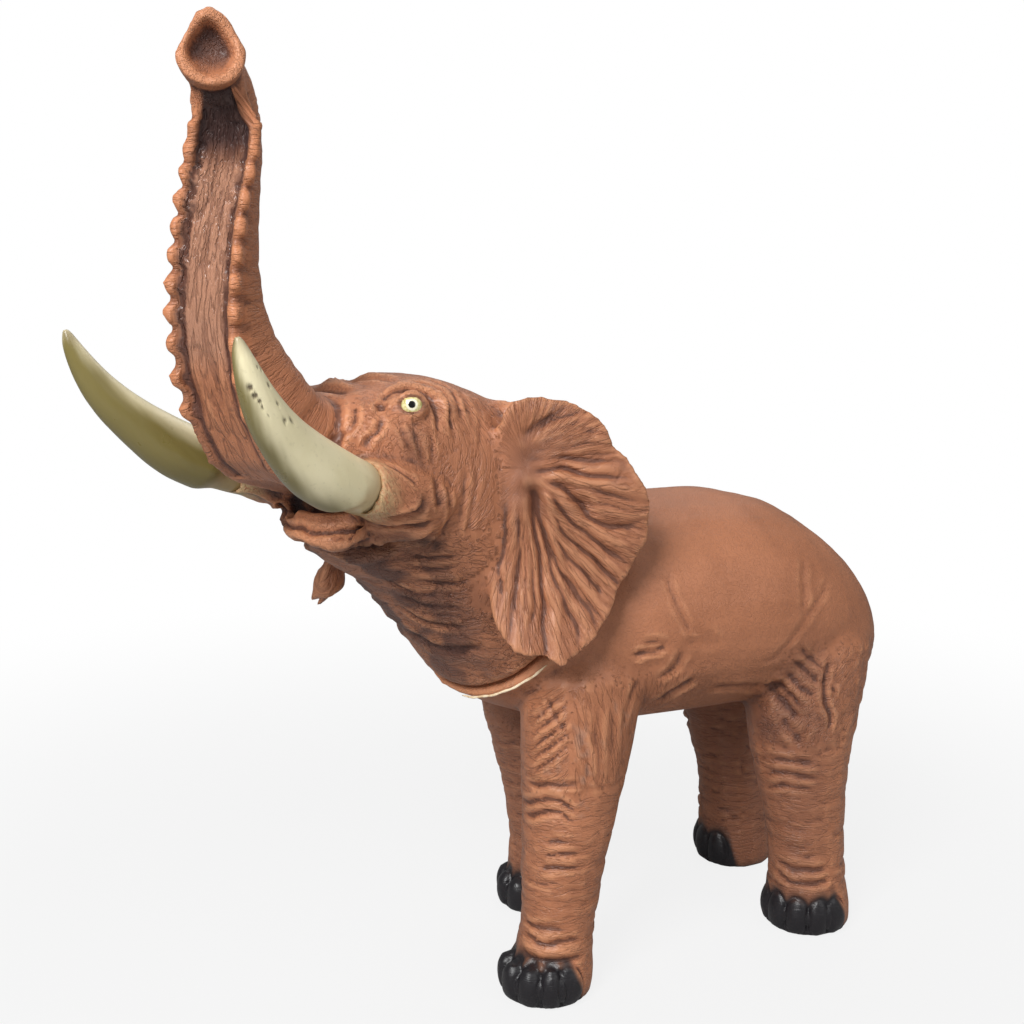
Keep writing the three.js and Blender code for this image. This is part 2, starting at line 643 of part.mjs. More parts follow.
// The lids stand up round each eye as one ring.
const eyeLook = new THREE.Vector3(0.76, -0.62, 0.18).normalize();
const lidRadius = 5;
const lidThick = 1.3;
const lidAhead = 2.2; // from the eye's middle to the ring's, along its look
const lidFlatShare = 0.72; // the ring's height as a share of its width
const lidSides = 6;
function lids(side) {
  const ring = new THREE.TorusGeometry(lidRadius, lidThick, lidSides, eyeSides);
  ring.scale(1, lidFlatShare, 1);
  const look = eyeLook.clone().multiply(new THREE.Vector3(side, 1, 1));
  const level = new THREE.Vector3().crossVectors(up, look).normalize();
  const rise = new THREE.Vector3().crossVectors(look, level);
  const place = new THREE.Vector3(side * eyeOut, -eyeAhead, eyeLift);
  place.addScaledVector(look, lidAhead);
  ring.applyMatrix4(new THREE.Matrix4().makeBasis(level, rise, look).setPosition(place));
  return solidOf(ring);
}

// The plug at the foot of the head: a groove that the body's neck face fits in, and a flange
// behind it. Heights run from the neck joint's middle back into the body.
const neckBack = neckFaceInHead.way.clone().negate();
const plugProfile = [
  radial(0, -vinylWall),
  radial(neckBore - turnGap, -vinylWall),
  radial(neckBore - turnGap, grooveEnd),
  radial(flangeRadius, grooveEnd),
  radial(flangeRadius - plugLipThick / 2, flangeEnd),
  radial(0, flangeEnd),
];
const plug = turned(plugProfile, neckCentreInHead, neckBack, neckSides);
const plugBore = bar(neckBore - plugWall, -vinylWall - overrun, flangeEnd + overrun,
  neckCentreInHead, neckBack, neckSides);

// The head casting. Its own neck face stands a turning gap ahead of the body's.
const headNeckFace = { ...neckFaceInHead };
headNeckFace.place = neckCentreInHead.clone().addScaledVector(neckBack, -turnGap);
const headRows = [headNeckFace].concat(skullSections.slice(1));
const skullSides = 32;
const skullRings = 16;
const sides = [1, -1];
const headSkin = unite([
  loft(headRows, skullSides, skullRings, skullOutline),
  loft(trunkSections, trunkSides, trunkRings, trunkOutline),
  loft(trunkPlaces(trunkTipShares), trunkSides, jawRings, trunkTipOutline),
  loft(headRow(jawShares, jawShift), jawSides, jawRings),
].concat(sides.map(sleeve), sides.map(ear), sides.map(earRoot), sides.map(lids),
  sides.flatMap(beads)));
const muzzleSolidRows = 2; // the hollow stops short of the skull's last rows
const trunkHollowRows = 7; // the trunk is hollow over its first rows
const trunkHollowBack = 12; // how far its hollow reaches back into the skull's
const trunkHollowSides = 12;
const trunkHollowRings = 10;
function headHollow(wall, neckWall) {
  const skull = loft(inset(headRows.slice(0, -muzzleSolidRows), wall, neckWall), hollowSides,
    hollowRings, skullOutline);
  const trunk = inset(trunkSections.slice(0, trunkHollowRows), wall + turnGap, -trunkHollowBack);
  return skull.add(loft(trunk, trunkHollowSides, trunkHollowRings, trunkOutline));
}
const bossesFor = (wall) => sides.flatMap((side) => [
  loft(tuskSections(side, wall).slice(0, 3), bossSides, bossRings),
  ball(side, eyeRadius + wall),
]);
const bosses = unite(bossesFor(vinylWall)).intersect(headSkin);
const mouthRoom = (wall) => loft(inset(headRow(mouthShares), -wall), jawSides, bossRings);
const nostril = loft(trunkPlaces(nostrilShares), bossSides, jawRings);
const headRoom = headHollow(vinylWall, vinylWall).subtract(mouthRoom(vinylWall));
const headCasting = cut(headSkin, [headRoom, nostril]);
const headShell = cut(cut(headCasting.add(bosses), [mouthRoom(0)]).add(plug), [plugBore].concat(
  sides.flatMap((side) => [loft(tuskSections(side, seatGap), tuskSides, tuskRings),
    ball(side, eyeRadius + seatGap)])));

// The fibre that fills both castings, clear of the bosses and of the plug.
const plugRoom = bar(flangeRadius + plugWall, -flangeEnd - fillGap, overrun, neckCentre,
  neckOut, neckSides);
const bodyFibre = cut(bodyHollow(vinylWall + fillGap, vinylWall + fillGap),
  [plugRoom, loft(inset(tailBossSections, -fillGap), bossSides, bossRings)]);
const headFibre = cut(headHollow(vinylWall + fillGap, vinylWall + fillGap),
  bossesFor(vinylWall + fillGap).concat([mouthRoom(vinylWall + fillGap)]));

// The figure, stood so that its origin is under the middle of its bounding box.
headGroup.add(
  meshOf("head_shell", mainBody(headShell), brownVinyl),
  meshOf("head_filling", headFibre, whiteFibre),
);
for (const [side, word] of [[1, "left"], [-1, "right"]]) {
  headGroup.add(
    meshOf(`tusk_${word}`, loft(tuskSections(side, 0), tuskSides, tuskRings), ivoryPlastic),
    meshOf(`eye_${word}`, ball(side, eyeRadius), eyePlastic),
  );
}
const elephant = new THREE.Group();
elephant.add(
  meshOf("body_shell", mainBody(bodyShell), brownVinyl),
  meshOf("body_filling", bodyFibre, whiteFibre),
  meshOf("tail", loft(tailSections(0), tailSides, tailRings), brownVinyl),
  headGroup,
);
const extent = new THREE.Box3().setFromObject(elephant, true);
const middle = extent.getCenter(new THREE.Vector3());
elephant.position.set(-middle.x, -middle.y, -extent.min.z);

export default elephant;
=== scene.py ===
# %% [markdown]
# # A soft vinyl toy elephant
# The figure is two hollow vinyl castings, a head that plugs into a body, with tusks, eyes and a
# tail pushed in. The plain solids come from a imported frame, in metres, with +Z up. The elephant
# faces -Y and its left side is +X. This script carves the skins over those solids and paints them.

# %% Load the frame
import json
import math

import bmesh
import bpy
import numpy as np
from mathutils import Matrix, Vector


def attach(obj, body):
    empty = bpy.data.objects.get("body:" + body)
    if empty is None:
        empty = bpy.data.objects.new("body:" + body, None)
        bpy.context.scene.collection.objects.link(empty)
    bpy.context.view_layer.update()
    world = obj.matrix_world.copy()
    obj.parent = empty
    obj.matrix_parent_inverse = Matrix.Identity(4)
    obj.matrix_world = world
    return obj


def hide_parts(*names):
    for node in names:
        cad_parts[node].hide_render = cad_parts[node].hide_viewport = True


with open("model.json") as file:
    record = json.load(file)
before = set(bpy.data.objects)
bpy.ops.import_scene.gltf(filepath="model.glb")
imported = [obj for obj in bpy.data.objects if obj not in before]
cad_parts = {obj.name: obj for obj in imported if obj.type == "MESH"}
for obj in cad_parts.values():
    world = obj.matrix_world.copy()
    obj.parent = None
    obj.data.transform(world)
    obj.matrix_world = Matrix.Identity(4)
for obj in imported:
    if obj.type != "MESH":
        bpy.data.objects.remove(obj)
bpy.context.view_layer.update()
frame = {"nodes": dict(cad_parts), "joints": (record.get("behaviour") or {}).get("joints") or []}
mm = 0.001

# %% [markdown]
# ## Two frames to measure in
# The head sits turned to its left on a neck that leans forward. Places on the head are far easier
# to read in the head's own frame, with its middle plane at x = 0, so each casting gets a frame in
# millimetres, placed from the neck joint, and one helper takes its places to the scene.

# %% Frames
neck_joint = next(j for j in frame["joints"] if j["name"] == "head_swivel")
neck = Vector(neck_joint["pos_m"])
neck_way = Vector(neck_joint["axis"]).normalized()
middle = neck.x + 0.8 * mm
head_place = Matrix.Translation((middle, neck.y - 32.7 * mm, 0)) @ Matrix.Rotation(
    math.radians(23.5), 4, "Z")
body_place = Matrix.Translation((middle, neck.y + 69.5 * mm, 0))
sides = (1, -1)


def at(place, point):
    """A point in millimetres of the head's or the body's frame, taken to the scene."""
    return place @ (Vector(point) * mm)


print("neck joint at", [round(v, 4) for v in neck], "leaning along", [round(v, 3) for v in neck_way])

# %% [markdown]
# ## The camera
# The picture was taken from the elephant's front left, a little above its head. The place and the
# lens were found by fitting the soles, the eyes and the tusks, so a point of the model falls on
# the same spot of the picture.

# %% Camera
camera_azimuth = 64.4
camera_pitch = 10.3
camera = bpy.data.objects.new("camera", bpy.data.cameras.new("camera"))
camera.location = neck + Vector((404.965, -190.669, 112.7)) * mm
camera.rotation_euler = (math.radians(90 - camera_pitch), 0, math.radians(camera_azimuth))
camera.data.sensor_width = 36
camera.data.lens = 43.5
camera.data.clip_start = 0.02
bpy.context.scene.collection.objects.link(camera)
bpy.context.scene.camera = camera
bpy.context.scene.view_settings.view_transform = "Standard"
print("camera at", [round(v, 3) for v in camera.location], "with a lens of", camera.data.lens, "mm")

# %% [markdown]
# ## Shader helpers
# A material is a small network of nodes. Wrapping a socket in a class lets the maths read as
# ordinary Python: `1 - mask * 0.5` adds the two Math nodes by itself. Any other node comes from
# one method of the next class, which sets the node up and then fills or links its inputs.

# %% Sockets
class Socket:
    def __init__(self, paint, socket):
        self.paint, self.socket = paint, socket

    def _maths(self, operation, *values):
        return self.paint.node("ShaderNodeMath", {"operation": operation}, *values)

    def __add__(self, other): return self._maths("ADD", self, other)
    def __radd__(self, other): return self._maths("ADD", other, self)
    def __sub__(self, other): return self._maths("SUBTRACT", self, other)
    def __rsub__(self, other): return self._maths("SUBTRACT", other, self)
    def __mul__(self, other): return self._maths("MULTIPLY", self, other)
    def __rmul__(self, other): return self._maths("MULTIPLY", other, self)


def srgb(red, green, blue):
    """Turns a colour read off a screen, 0 to 255, into the linear light that shaders use."""
    return tuple((v / 255 / 12.92) if v <= 10 else ((v / 255 + 0.055) / 1.055) ** 2.4
                 for v in (red, green, blue))


print("mid grey is", round(srgb(128, 128, 128)[0], 3), "in linear light")

# %% [markdown]
# A `Paint` is one material. It adds nodes, shortcuts for the kinds used most, and feeds the shader's
# own sockets by name. Patterns are placed by Object coordinates or by numbers kept on the points.

# %% Paint
class Paint:
    """A material whose nodes are written as expressions."""

    def __init__(self, name):
        self.material = bpy.data.materials.new(name)
        self.material.use_nodes = True
        self.tree = self.material.node_tree
        self.shader = self.tree.nodes["Principled BSDF"]

    def fill(self, inputs, values):
        """Links or sets a node's inputs, each given by its number or its name."""
        for key, value in values:
            slot = inputs[key if isinstance(key, int) else key.replace("_", " ")]
            if isinstance(value, Socket):
                self.tree.links.new(value.socket, slot)
            else:
                slot.default_value = value

    def node(self, kind, settings, *values, out=0, **named):
        made = self.tree.nodes.new(kind)
        for key, value in settings.items():
            setattr(made, key, value)
        self.fill(made.inputs, [*enumerate(values), *named.items()])
        return Socket(self, made.outputs[out])

    def place(self):
        return self.node("ShaderNodeTexCoord", {}, out=3)

    def attribute(self, name):
        return self.node("ShaderNodeAttribute", {"attribute_name": name}, out=2)

    def noise(self, scale, detail=2.0, roughness=0.5, distortion=0.0):
        return self.node("ShaderNodeTexNoise", {}, Vector=self.place(), Scale=scale,
                         Detail=detail, Roughness=roughness, Distortion=distortion)

    def between(self, value, low, high, to_low=0.0, to_high=1.0):
        return self.node("ShaderNodeMapRange", {"interpolation_type": "SMOOTHSTEP"},
                         value, low, high, to_low, to_high)

    def mix(self, factor, first, second):
        """A colour between two, each a socket or linear light."""
        first, second = (c if isinstance(c, Socket) else (*c, 1) for c in (first, second))
        made = self.tree.nodes.new("ShaderNodeMix")
        made.data_type = "RGBA"
        self.fill(made.inputs, ((0, factor), (6, first), (7, second)))
        return Socket(self, made.outputs[2])

    def feed(self, **values):
        self.fill(self.shader.inputs, values.items())

    def bump(self, height, strength, distance):
        return self.node("ShaderNodeBump", {}, Strength=strength, Distance=distance, Height=height)


# %% [markdown]
# ## Clay in and out of meshes
# Every piece is shaped as loose clay (a bmesh) and then placed in the scene as an object. Solids
# come with their faces apart, so a copy of one has its shared points merged first.

# %% Clay helpers
def merged(node):
    """A copy of a solid as clay, with the points that its faces share merged."""
    clay = bmesh.new()
    clay.from_mesh(frame["nodes"][node].data)
    bmesh.ops.remove_doubles(clay, verts=clay.verts, dist=1e-5)
    return clay


def placed(name, clay):
    """Turns clay into a named object of the scene."""
    mesh = bpy.data.meshes.new(name)
    clay.to_mesh(mesh)
    clay.free()
    piece = bpy.data.objects.new(name, mesh)
    bpy.context.scene.collection.objects.link(piece)
    return piece


def applied(piece):
    """Makes what a piece's modifiers do part of its mesh."""
    graph = bpy.context.evaluated_depsgraph_get()
    piece.data = bpy.data.meshes.new_from_object(piece.evaluated_get(graph))
    piece.modifiers.clear()
    piece.data.name = piece.name
    return piece


print(len(frame["nodes"]), "solids to copy")

# %% [markdown]
# ## Floor and light
# A studio picture of this kind is lit by big soft panels, with white paper below and behind. The
# floor shows nearly white to the camera, but still takes the figure's soft shadow.

# %% Floor
floor_side = 6.0
plane = bmesh.new()
bmesh.ops.create_grid(plane, x_segments=1, y_segments=1, size=floor_side / 2)
floor = placed("floor", plane)
paper = Paint("white_paper")
seen = paper.node("ShaderNodeLightPath", {}, out=0)
glow = paper.node("ShaderNodeEmission", {}, (1, 1, 1, 1), 1.0)
paper.feed(Base_Color=(0.42, 0.42, 0.42, 1), Roughness=0.8)
far = paper.node("ShaderNodeVectorMath", {"operation": "LENGTH"}, paper.place(), out=1)
both = paper.node("ShaderNodeMixShader", {}, seen * paper.between(far, 0.16, 0.6, 0.84, 1.0),
                  Socket(paper, paper.shader.outputs[0]), glow)
paper.tree.links.new(both.socket, paper.tree.nodes["Material Output"].inputs[0])
floor.data.materials.append(paper.material)
print("floor", floor_side, "m wide")

# %% [markdown]
# The world gives a weak even light, and shows pure white to the camera. Three panels do the rest:
# a small bright one ahead, and two wide weak ones at the side and behind.

# %% World and panels
world = bpy.data.worlds.new("studio")
world.use_nodes = True
bpy.context.scene.world = world
sky = world.node_tree
background = sky.nodes["Background"]
background.inputs[0].default_value = (1, 1, 1, 1)
background.inputs[1].default_value = 0.24
white = sky.nodes.new("ShaderNodeBackground")
white.inputs[0].default_value = (1, 1, 1, 1)
rays = sky.nodes.new("ShaderNodeLightPath")
either = sky.nodes.new("ShaderNodeMixShader")
sky.links.new(rays.outputs[0], either.inputs[0])
sky.links.new(background.outputs[0], either.inputs[1])
sky.links.new(white.outputs[0], either.inputs[2])
sky.links.new(either.outputs[0], sky.nodes["World Output"].inputs[0])


def panel(name, azimuth, elevation, away, side, power):
    """A square soft light that looks at the figure's middle."""
    lamp = bpy.data.objects.new(name, bpy.data.lights.new(name, "AREA"))
    lamp.data.size, lamp.data.energy = side, power
    a, e = math.radians(azimuth), math.radians(elevation)
    way = Vector((math.sin(a) * math.cos(e), -math.cos(a) * math.cos(e), math.sin(e)))
    aim = Vector((0, 0, 0.15))
    lamp.location = aim + way * away
    lamp.rotation_euler = way.to_track_quat("Z", "Y").to_euler()
    bpy.context.scene.collection.objects.link(lamp)


panel("key", 38, 38, 1.1, 0.45, 12.5)
panel("fill", 118, 30, 1.3, 1.0, 4)
panel("back", -120, 50, 1.3, 1.0, 4)
print("3 soft lights")

# %% [markdown]
# ## The castings' outer skins
# A frame solid is a hollow casting, with an inner wall that nobody sees. Cutting a copy with a
# plane just inside its neck face parts the outer skin from that inner wall. The skin is kept,
# its neck is closed, and it becomes the clay that the rest of the script works on. Only the points
# that hang together with the farthest one from the neck belong to the outer skin.

# %% Outer skins
def outer_skin(node, ahead, keep_ahead):
    """The outer skin of a casting, cut open at the neck and closed again with one flat face."""
    clay = merged(node)
    bmesh.ops.bisect_plane(clay, geom=clay.verts[:] + clay.edges[:] + clay.faces[:],
                           plane_co=neck + neck_way * ahead, plane_no=neck_way,
                           clear_inner=keep_ahead, clear_outer=not keep_ahead)
    start = max(clay.verts, key=lambda v: (v.co - neck).length)
    kept, edge_of_kept = {start}, [start]
    while edge_of_kept:
        vert = edge_of_kept.pop()
        for edge in vert.link_edges:
            other = edge.other_vert(vert)
            if other not in kept:
                kept.add(other)
                edge_of_kept.append(other)
    bmesh.ops.delete(clay, geom=[v for v in clay.verts if v not in kept], context="VERTS")
    bmesh.ops.holes_fill(clay, edges=[e for e in clay.edges if e.is_boundary], sides=0)
    bmesh.ops.triangulate(clay, faces=[f for f in clay.faces if len(f.verts) > 4])
    return clay


body_clay = outer_skin("body_shell", -0.1 * mm, keep_ahead=False)
head_clay = outer_skin("head_shell", 0.45 * mm, keep_ahead=True)
print("body clay", len(body_clay.verts), "points, head clay", len(head_clay.verts))

# %% [markdown]
# ## Adding clay
# A sculptor presses small lumps on before carving: rims, lids, lips, beads and nails. Each lump is
# a stretched ball, and a row of balls that touch makes a roll. They all melt together later.

# %% Lumps and rolls
def ball(clay, centre, sizes, turn=None, detail=2):
    """Presses a ball of clay on, with its three radii in millimetres, at a place in metres."""
    made = bmesh.ops.create_icosphere(clay, subdivisions=detail, radius=1.0)["verts"]
    shape = Matrix.Diagonal((*(s * mm for s in sizes), 1))
    if turn is not None:
        shape = turn.to_4x4() @ shape
    bmesh.ops.transform(clay, matrix=Matrix.Translation(centre) @ shape, verts=made)


def smooth_path(points, step=1.0, per_row=None):
    """A smooth run of points through a few given ones, one step apart or so many to each gap."""
    points = np.asarray(points, float)
    ends = np.vstack([2 * points[0] - points[1], points, 2 * points[-1] - points[-2]])
    run = []
    for a, b, c, d in zip(ends, ends[1:], ends[2:], ends[3:]):
        count = per_row or max(2, int(np.linalg.norm(c - b) / step))
        for t in np.arange(count) / count:
            run.append(0.5 * (2 * b + (c - a) * t + (2 * a - 5 * b + 4 * c - d) * t ** 2
                              + (3 * b - a - 3 * c + d) * t ** 3))
    return np.array(run + [points[-1]])


def roll(clay, place, points, radius, step=0.7):
    """A roll of clay through points in millimetres, thinner at both ends."""
    path = smooth_path(points, radius * step)
    for i, point in enumerate(path):
        thick = radius * min(1, 0.6 + 4 * min(i, len(path) - 1 - i) / len(path))
        ball(clay, at(place, point), (thick,) * 3, detail=1)


def mirrored(points, side):
    """A path on the left, or the same one mirrored to the right."""
    return [(side * x, y, z) for x, y, z in points]


# %% [markdown]
# ### The trunk
# The trunk's rows are the ones its solid was lofted through: place, half width, half depth, and
# the rise and turn of its way. At any row, that gives the way it runs, across and to its back.

# %% Trunk rows
trunk_rows = np.array([
    # x, y, z, half width, half depth, rise, turn
    (0.0, -36.0, 199.0, 18.7, 17.0, 25, 0), (0.0, -61.9, 207.4, 17.9, 18.7, 45, 0),
    (0.6, -74.9, 225.0, 15.3, 16.3, 60, 5), (1.0, -81.8, 243.0, 12.8, 12.6, 80, 15),
    (2.9, -84.3, 260.0, 11.2, 10.7, 90, 25), (4.9, -84.0, 277.0, 10.4, 9.9, 92, 32),
    (8.7, -83.7, 292.9, 9.5, 9.0, 88, 39), (12.0, -85.8, 305.0, 8.3, 7.8, 65, 46),
    (15.7, -90.6, 313.5, 7.8, 7.7, 35, 51), (19.3, -95.5, 316.3, 7.8, 8.5, 8, 54),
    (20.0, -96.3, 316.3, 7.8, 8.5, 4, 55)])
trunk_run = smooth_path(trunk_rows)
trunk_length = np.concatenate([[0], np.cumsum(np.linalg.norm(np.diff(trunk_run[:, :3], axis=0),
                                                             axis=1))])


def trunk_frame(row):
    """The trunk's way, its width's way and its back's way at a row."""
    rise, turn = np.radians(row[5]), np.radians(row[6])
    ahead = np.array((np.sin(turn), -np.cos(turn), 0))
    across = np.array((np.cos(turn), np.sin(turn), 0))
    return (ahead * np.cos(rise) + np.array((0, 0, np.sin(rise))), across,
            -ahead * np.sin(rise) + np.array((0, 0, np.cos(rise))))


def trunk_shares(points):
    """Where points lie on the trunk: shares of its half width and depth, and how far along."""
    run = trunk_run[::2]
    near = np.flatnonzero((points[:, 2] > 196) & (points[:, 1] < -38) & (abs(points[:, 0]) < 36))
    nearest = np.argmin(((points[near][:, None] - run[None, :, :3]) ** 2).sum(2), axis=1)
    rows = run[nearest]
    axes = np.array([trunk_frame(row) for row in rows])
    off = points[near] - rows[:, :3]
    side, back, stop = np.full(len(points), 9.0), np.full(len(points), 9.0), np.zeros(len(points))
    side[near] = (off * axes[:, 1]).sum(1) / rows[:, 3]
    back[near] = (off * axes[:, 2]).sum(1) / rows[:, 4]
    stop[near] = trunk_length[::2][nearest] + (off * axes[:, 0]).sum(1)
    return side, back, stop


print("trunk", round(trunk_length[-1]), "mm long")

# %% [markdown]
# Two rows of beads run along the trunk's flat underside, a little uneven, and drawn in near the
# tip. The tip has a pointed finger on top and a thick lip round the sides and the bottom of the
# hollow, with clay behind it that the hollow is dug from later.

# %% Trunk clay
bead_count, beads = 16, []
bead_stops = smooth_path(trunk_rows, per_row=40)
for i in range(bead_count):
    row = bead_stops[int((0.2 + 0.67 * i / (bead_count - 1)) * (len(bead_stops) - 1))]
    way, across, back = trunk_frame(row)
    turn = Matrix((across, back, way)).transposed()
    for side in sides:
        shake = 0.35 * math.sin(2.3 * i + side)
        slim = 0.85 - 0.13 * max(0, i - bead_count + 3) / 2
        centre = row[:3] + across * side * (slim * row[3] + shake) - back * 0.79 * row[4]
        beads.append((centre, side * across * 0.72 - back * 0.69, way))
        fat = 0.3 * (i > 8)
        ball(head_clay, at(head_place, centre), (2.3 + fat, 2.2 + fat, 3.4 + 0.25 * math.sin(1.7 * i)),
             head_place.to_3x3() @ turn)
tip_centre = np.array((20.6, -97.3, 316.8))
tip_way, tip_across, tip_back = trunk_frame(trunk_run[-1])
tip_lip = [(-8.0, 1.0, -0.6), (-7.2, -3.4, 0.2), (-4.2, -6.8, 0.8), (0, -8.0, 1.0), (4.2, -6.8, 0.8),
           (7.2, -3.4, 0.2), (8.0, 1.0, -0.6)]
roll(head_clay, head_place,
     [tip_centre + a * tip_across + b * tip_back + w * tip_way for a, b, w in tip_lip], 2.1)
tip_turn = head_place.to_3x3() @ Matrix((tip_across, tip_back, tip_way)).transposed()
ball(head_clay, at(head_place, tip_centre + 8.2 * tip_back - 0.6 * tip_way), (3.8, 3.2, 2.8), tip_turn)
ball(head_clay, at(head_place, tip_centre + 0.5 * tip_back - 5.0 * tip_way), (6.6, 8.0, 5.6), tip_turn)
print(bead_count, "beads on each side of the trunk")

# %% [markdown]
# ### The ears
# Each ear is a thin fan that sweeps back from its root. The same formula as the solid's says how
# far the sheet's middle stands off a flat plane, and that parts the ear from the head behind it.
# Places on an ear are shares of its width out from the root and of its height above the middle.

# %% Ear frames
ear_root = np.array((37.0, -6.0, 172.0))
ear_wide, ear_tall, ear_sweep = 60.0, 97.0, math.radians(47)
ear_valleys = ((60, 0.5), (36, 0.7), (19, 0.6), (2, 0.9), (-20, 0.8), (-37, 0.9), (-53, 0.8),
               (-68, 0.7), (-84, 1.2), (-98, 0.5))


def step(value, low, high):
    """A smooth step from 0 at low to 1 at high."""
    share = np.clip((value - low) / (high - low), 0, 1)
    return share * share * (3 - 2 * share)


def ear_axes(side):
    """How an ear runs out from the head, and which way its front faces."""
    return (np.array((side * math.cos(ear_sweep), math.sin(ear_sweep), 0)),
            np.array((side * math.sin(ear_sweep), -math.cos(ear_sweep), 0)))


def ear_stand(out, up):
    """How far the ear's middle sheet stands off its plane at shares of its width and height."""
    turn = np.degrees(np.arctan2(up - 0.28, out - 0.16))
    valley = sum(deep * np.exp(-((turn - way) / 7) ** 2) for way, deep in ear_valleys)
    fold = 2.4 * (0.5 - valley) * step(np.hypot(out - 0.16, up - 0.28), 0, 0.4)
    front = 6 * step(-up, 0, 0.5) * (1 - step(out, 0.1, 0.45))
    return fold - 7 * np.maximum(0, out - 0.16) ** 2 + 8 * (2 * np.maximum(0, -up)) ** 2 + front


def ear_shares(points, side):
    """Where points lie on an ear: shares out and up, and how far off the ear's sheet."""
    out_way, face_way = ear_axes(side)
    gap = points - ear_root * (side, 1, 1)
    up = gap[:, 2] / ear_tall
    gap[:, 0] -= side * 8 * (2 * np.maximum(0, -up)) ** 2
    out = gap @ out_way / ear_wide
    return out, up, gap @ face_way - ear_stand(out, up)


print("ears", ear_wide, "mm wide and", ear_tall, "mm tall, with", len(ear_valleys), "valleys")

# %% [markdown]
# ### The eyes, the brow and the nape
# Lids stand up round each eye, below a bowed brow. The sockets of the eyes and tusks are filled,
# because the bead and the tusk sit in them. A web of skin joins each ear's root to the nape.

# %% Face clay
eye_place = np.array((29.0, -33.0, 218.5))
eye_look = np.array((0.76, -0.62, 0.18))
eye_look /= np.linalg.norm(eye_look)
eye_back = np.cross((0, 0, 1), eye_look)
eye_back /= np.linalg.norm(eye_back)
eye_up = np.cross(eye_look, eye_back)
eye_bead, eye_long, eye_tall = 4.6, 3.7, 2.55
jaw_line = [(36, -36, 180), (30, -41.5, 178.5), (23, -47, 176.5), (15, -52, 175.4), (8, -55, 175.4),
            (0, -57, 176.6)]
for side in sides:
    flip = np.array((side, 1, 1))
    ball(head_clay, at(head_place, eye_place * flip), (4.3,) * 3)
    for height, radius in ((eye_tall + 1.1, 1.6), (-eye_tall - 0.7, 1.2)):
        lid = []
        for share in np.linspace(-1, 1, 11):
            over, up = (eye_long + 0.7) * share, height * (1 - share ** 2) ** 0.7
            ahead = math.sqrt(max(1, (eye_bead + 0.3) ** 2 - over ** 2 - up ** 2))
            lid.append((eye_place + eye_look * ahead + eye_back * over + eye_up * up) * flip)
        roll(head_clay, head_place, lid, radius)
    brow = [(23, -37, 222), (22, -33, 223.8), (23, -28, 224.5), (27, -24, 223.3), (32, -21, 219.5),
            (35, -22, 214)]
    roll(head_clay, head_place, mirrored(brow, side), 1.5)
    ball(head_clay, at(head_place, (side * 17, -23.5, 220.8)), (5, 5, 4.4))
    roll(head_clay, head_place, mirrored([(27, -39, 190), (29, -56, 193)], side), 6.0)
    for drop in (0, 6, 12, 18):
        web = [(8, 4, 207 - drop), (15, 5, 211.6 - drop), (24, 6, 213.8 - drop), (33, 7, 214.3 - drop),
               (41, 7.5, 214 - drop), (47.5, 7, 213 - drop)]
        roll(head_clay, head_place, mirrored(web, side), 4.2)
print("eyes open", 2 * eye_long, "by", 2 * eye_tall, "mm")

# %% [markdown]
# ### The mouth and the far ear's lobe
# The lower lip is a loop round the jaw, a little to the left, with a pad inside it. The right ear's
# front corner hangs lower than its solid, where it shows below the jaw.

# %% Mouth clay
lip = [(x + 1, y, z) for x, y, z in jaw_line]
far_lip = [(2 - x, y + 0.25 * x, z + 0.06 * x) for x, y, z in lip[-2::-1]]
roll(head_clay, head_place, lip + far_lip, 2.4)
lobe_turn = Matrix(((0.71, 0.70, 0), (-0.70, 0.71, 0), (0, 0, 1)))
for place, radii in (((-46, -0.5, 147), (3.6, 5.8, 9.5)), ((-46, -6, 144), (3.6, 6.0, 8.0))):
    ball(head_clay, at(head_place, place), radii, head_place.to_3x3() @ lobe_turn)
pad = [(-10, -47, 181), (-3, -51, 181), (5, -51.5, 181.5), (13, -48, 182), (20, -43.5, 182.5),
       (26, -39, 183)]
roll(head_clay, head_place, pad, 3.3)
print("lip of", len(lip) + len(far_lip), "points")

# %% [markdown]
# ### The feet
# Each foot's middle and half its width are kept, to set its toenails and its black paint by. The
# turns of the nails are in degrees outwards from straight ahead.

# %% Feet
feet = {"front_left": (30.9, -67.1, 15.3), "front_right": (-31.1, -39.1, 15.3),
        "rear_left": (31.0, 52.5, 16.1), "rear_right": (-31.1, 61.0, 16.1)}
nail_turns = (-26, 6, 38, 70, 97)
print(len(feet) * len(nail_turns), "toenails")

# %% [markdown]
# ## Melting the clay into even skins
# A voxel remesh melts all the lumps into one even skin. Its faces are all one size, so they are
# split once more where the finest carving goes: the face, the fronts of the ears, the trunk's
# beads, strip and tip, and the feet.

# %% Remesh
def fused(name, clay, voxel):
    """Melts everything in the clay into one even skin and returns it as an object."""
    rough = placed(name, clay)
    melt = rough.modifiers.new("melt", "REMESH")
    melt.mode, melt.voxel_size = "VOXEL", voxel * mm
    return applied(rough)


def finer(piece, place, wanted):
    """Splits the faces whose middles, in a casting's frame, the given test wants finer."""
    middles = np.empty(3 * len(piece.data.polygons))
    piece.data.polygons.foreach_get("center", middles)
    turn, origin = np.array(place.to_3x3()), np.array(place.translation)
    chosen = np.flatnonzero(wanted(((middles.reshape(-1, 3) - origin) / mm) @ turn))
    clay = bmesh.new()
    clay.from_mesh(piece.data)
    clay.faces.ensure_lookup_table()
    edges = {e for i in chosen for e in clay.faces[i].edges}
    bmesh.ops.subdivide_edges(clay, edges=list(edges), cuts=1, use_grid_fill=True)
    clay.to_mesh(piece.data)
    clay.free()
    piece.data.shade_smooth()
    count = sum(len(f.vertices) - 2 for f in piece.data.polygons)
    print(piece.name, count, "triangles")


body = fused("body_skin", body_clay, 1.4)
head = fused("head_skin", head_clay, 1.5)


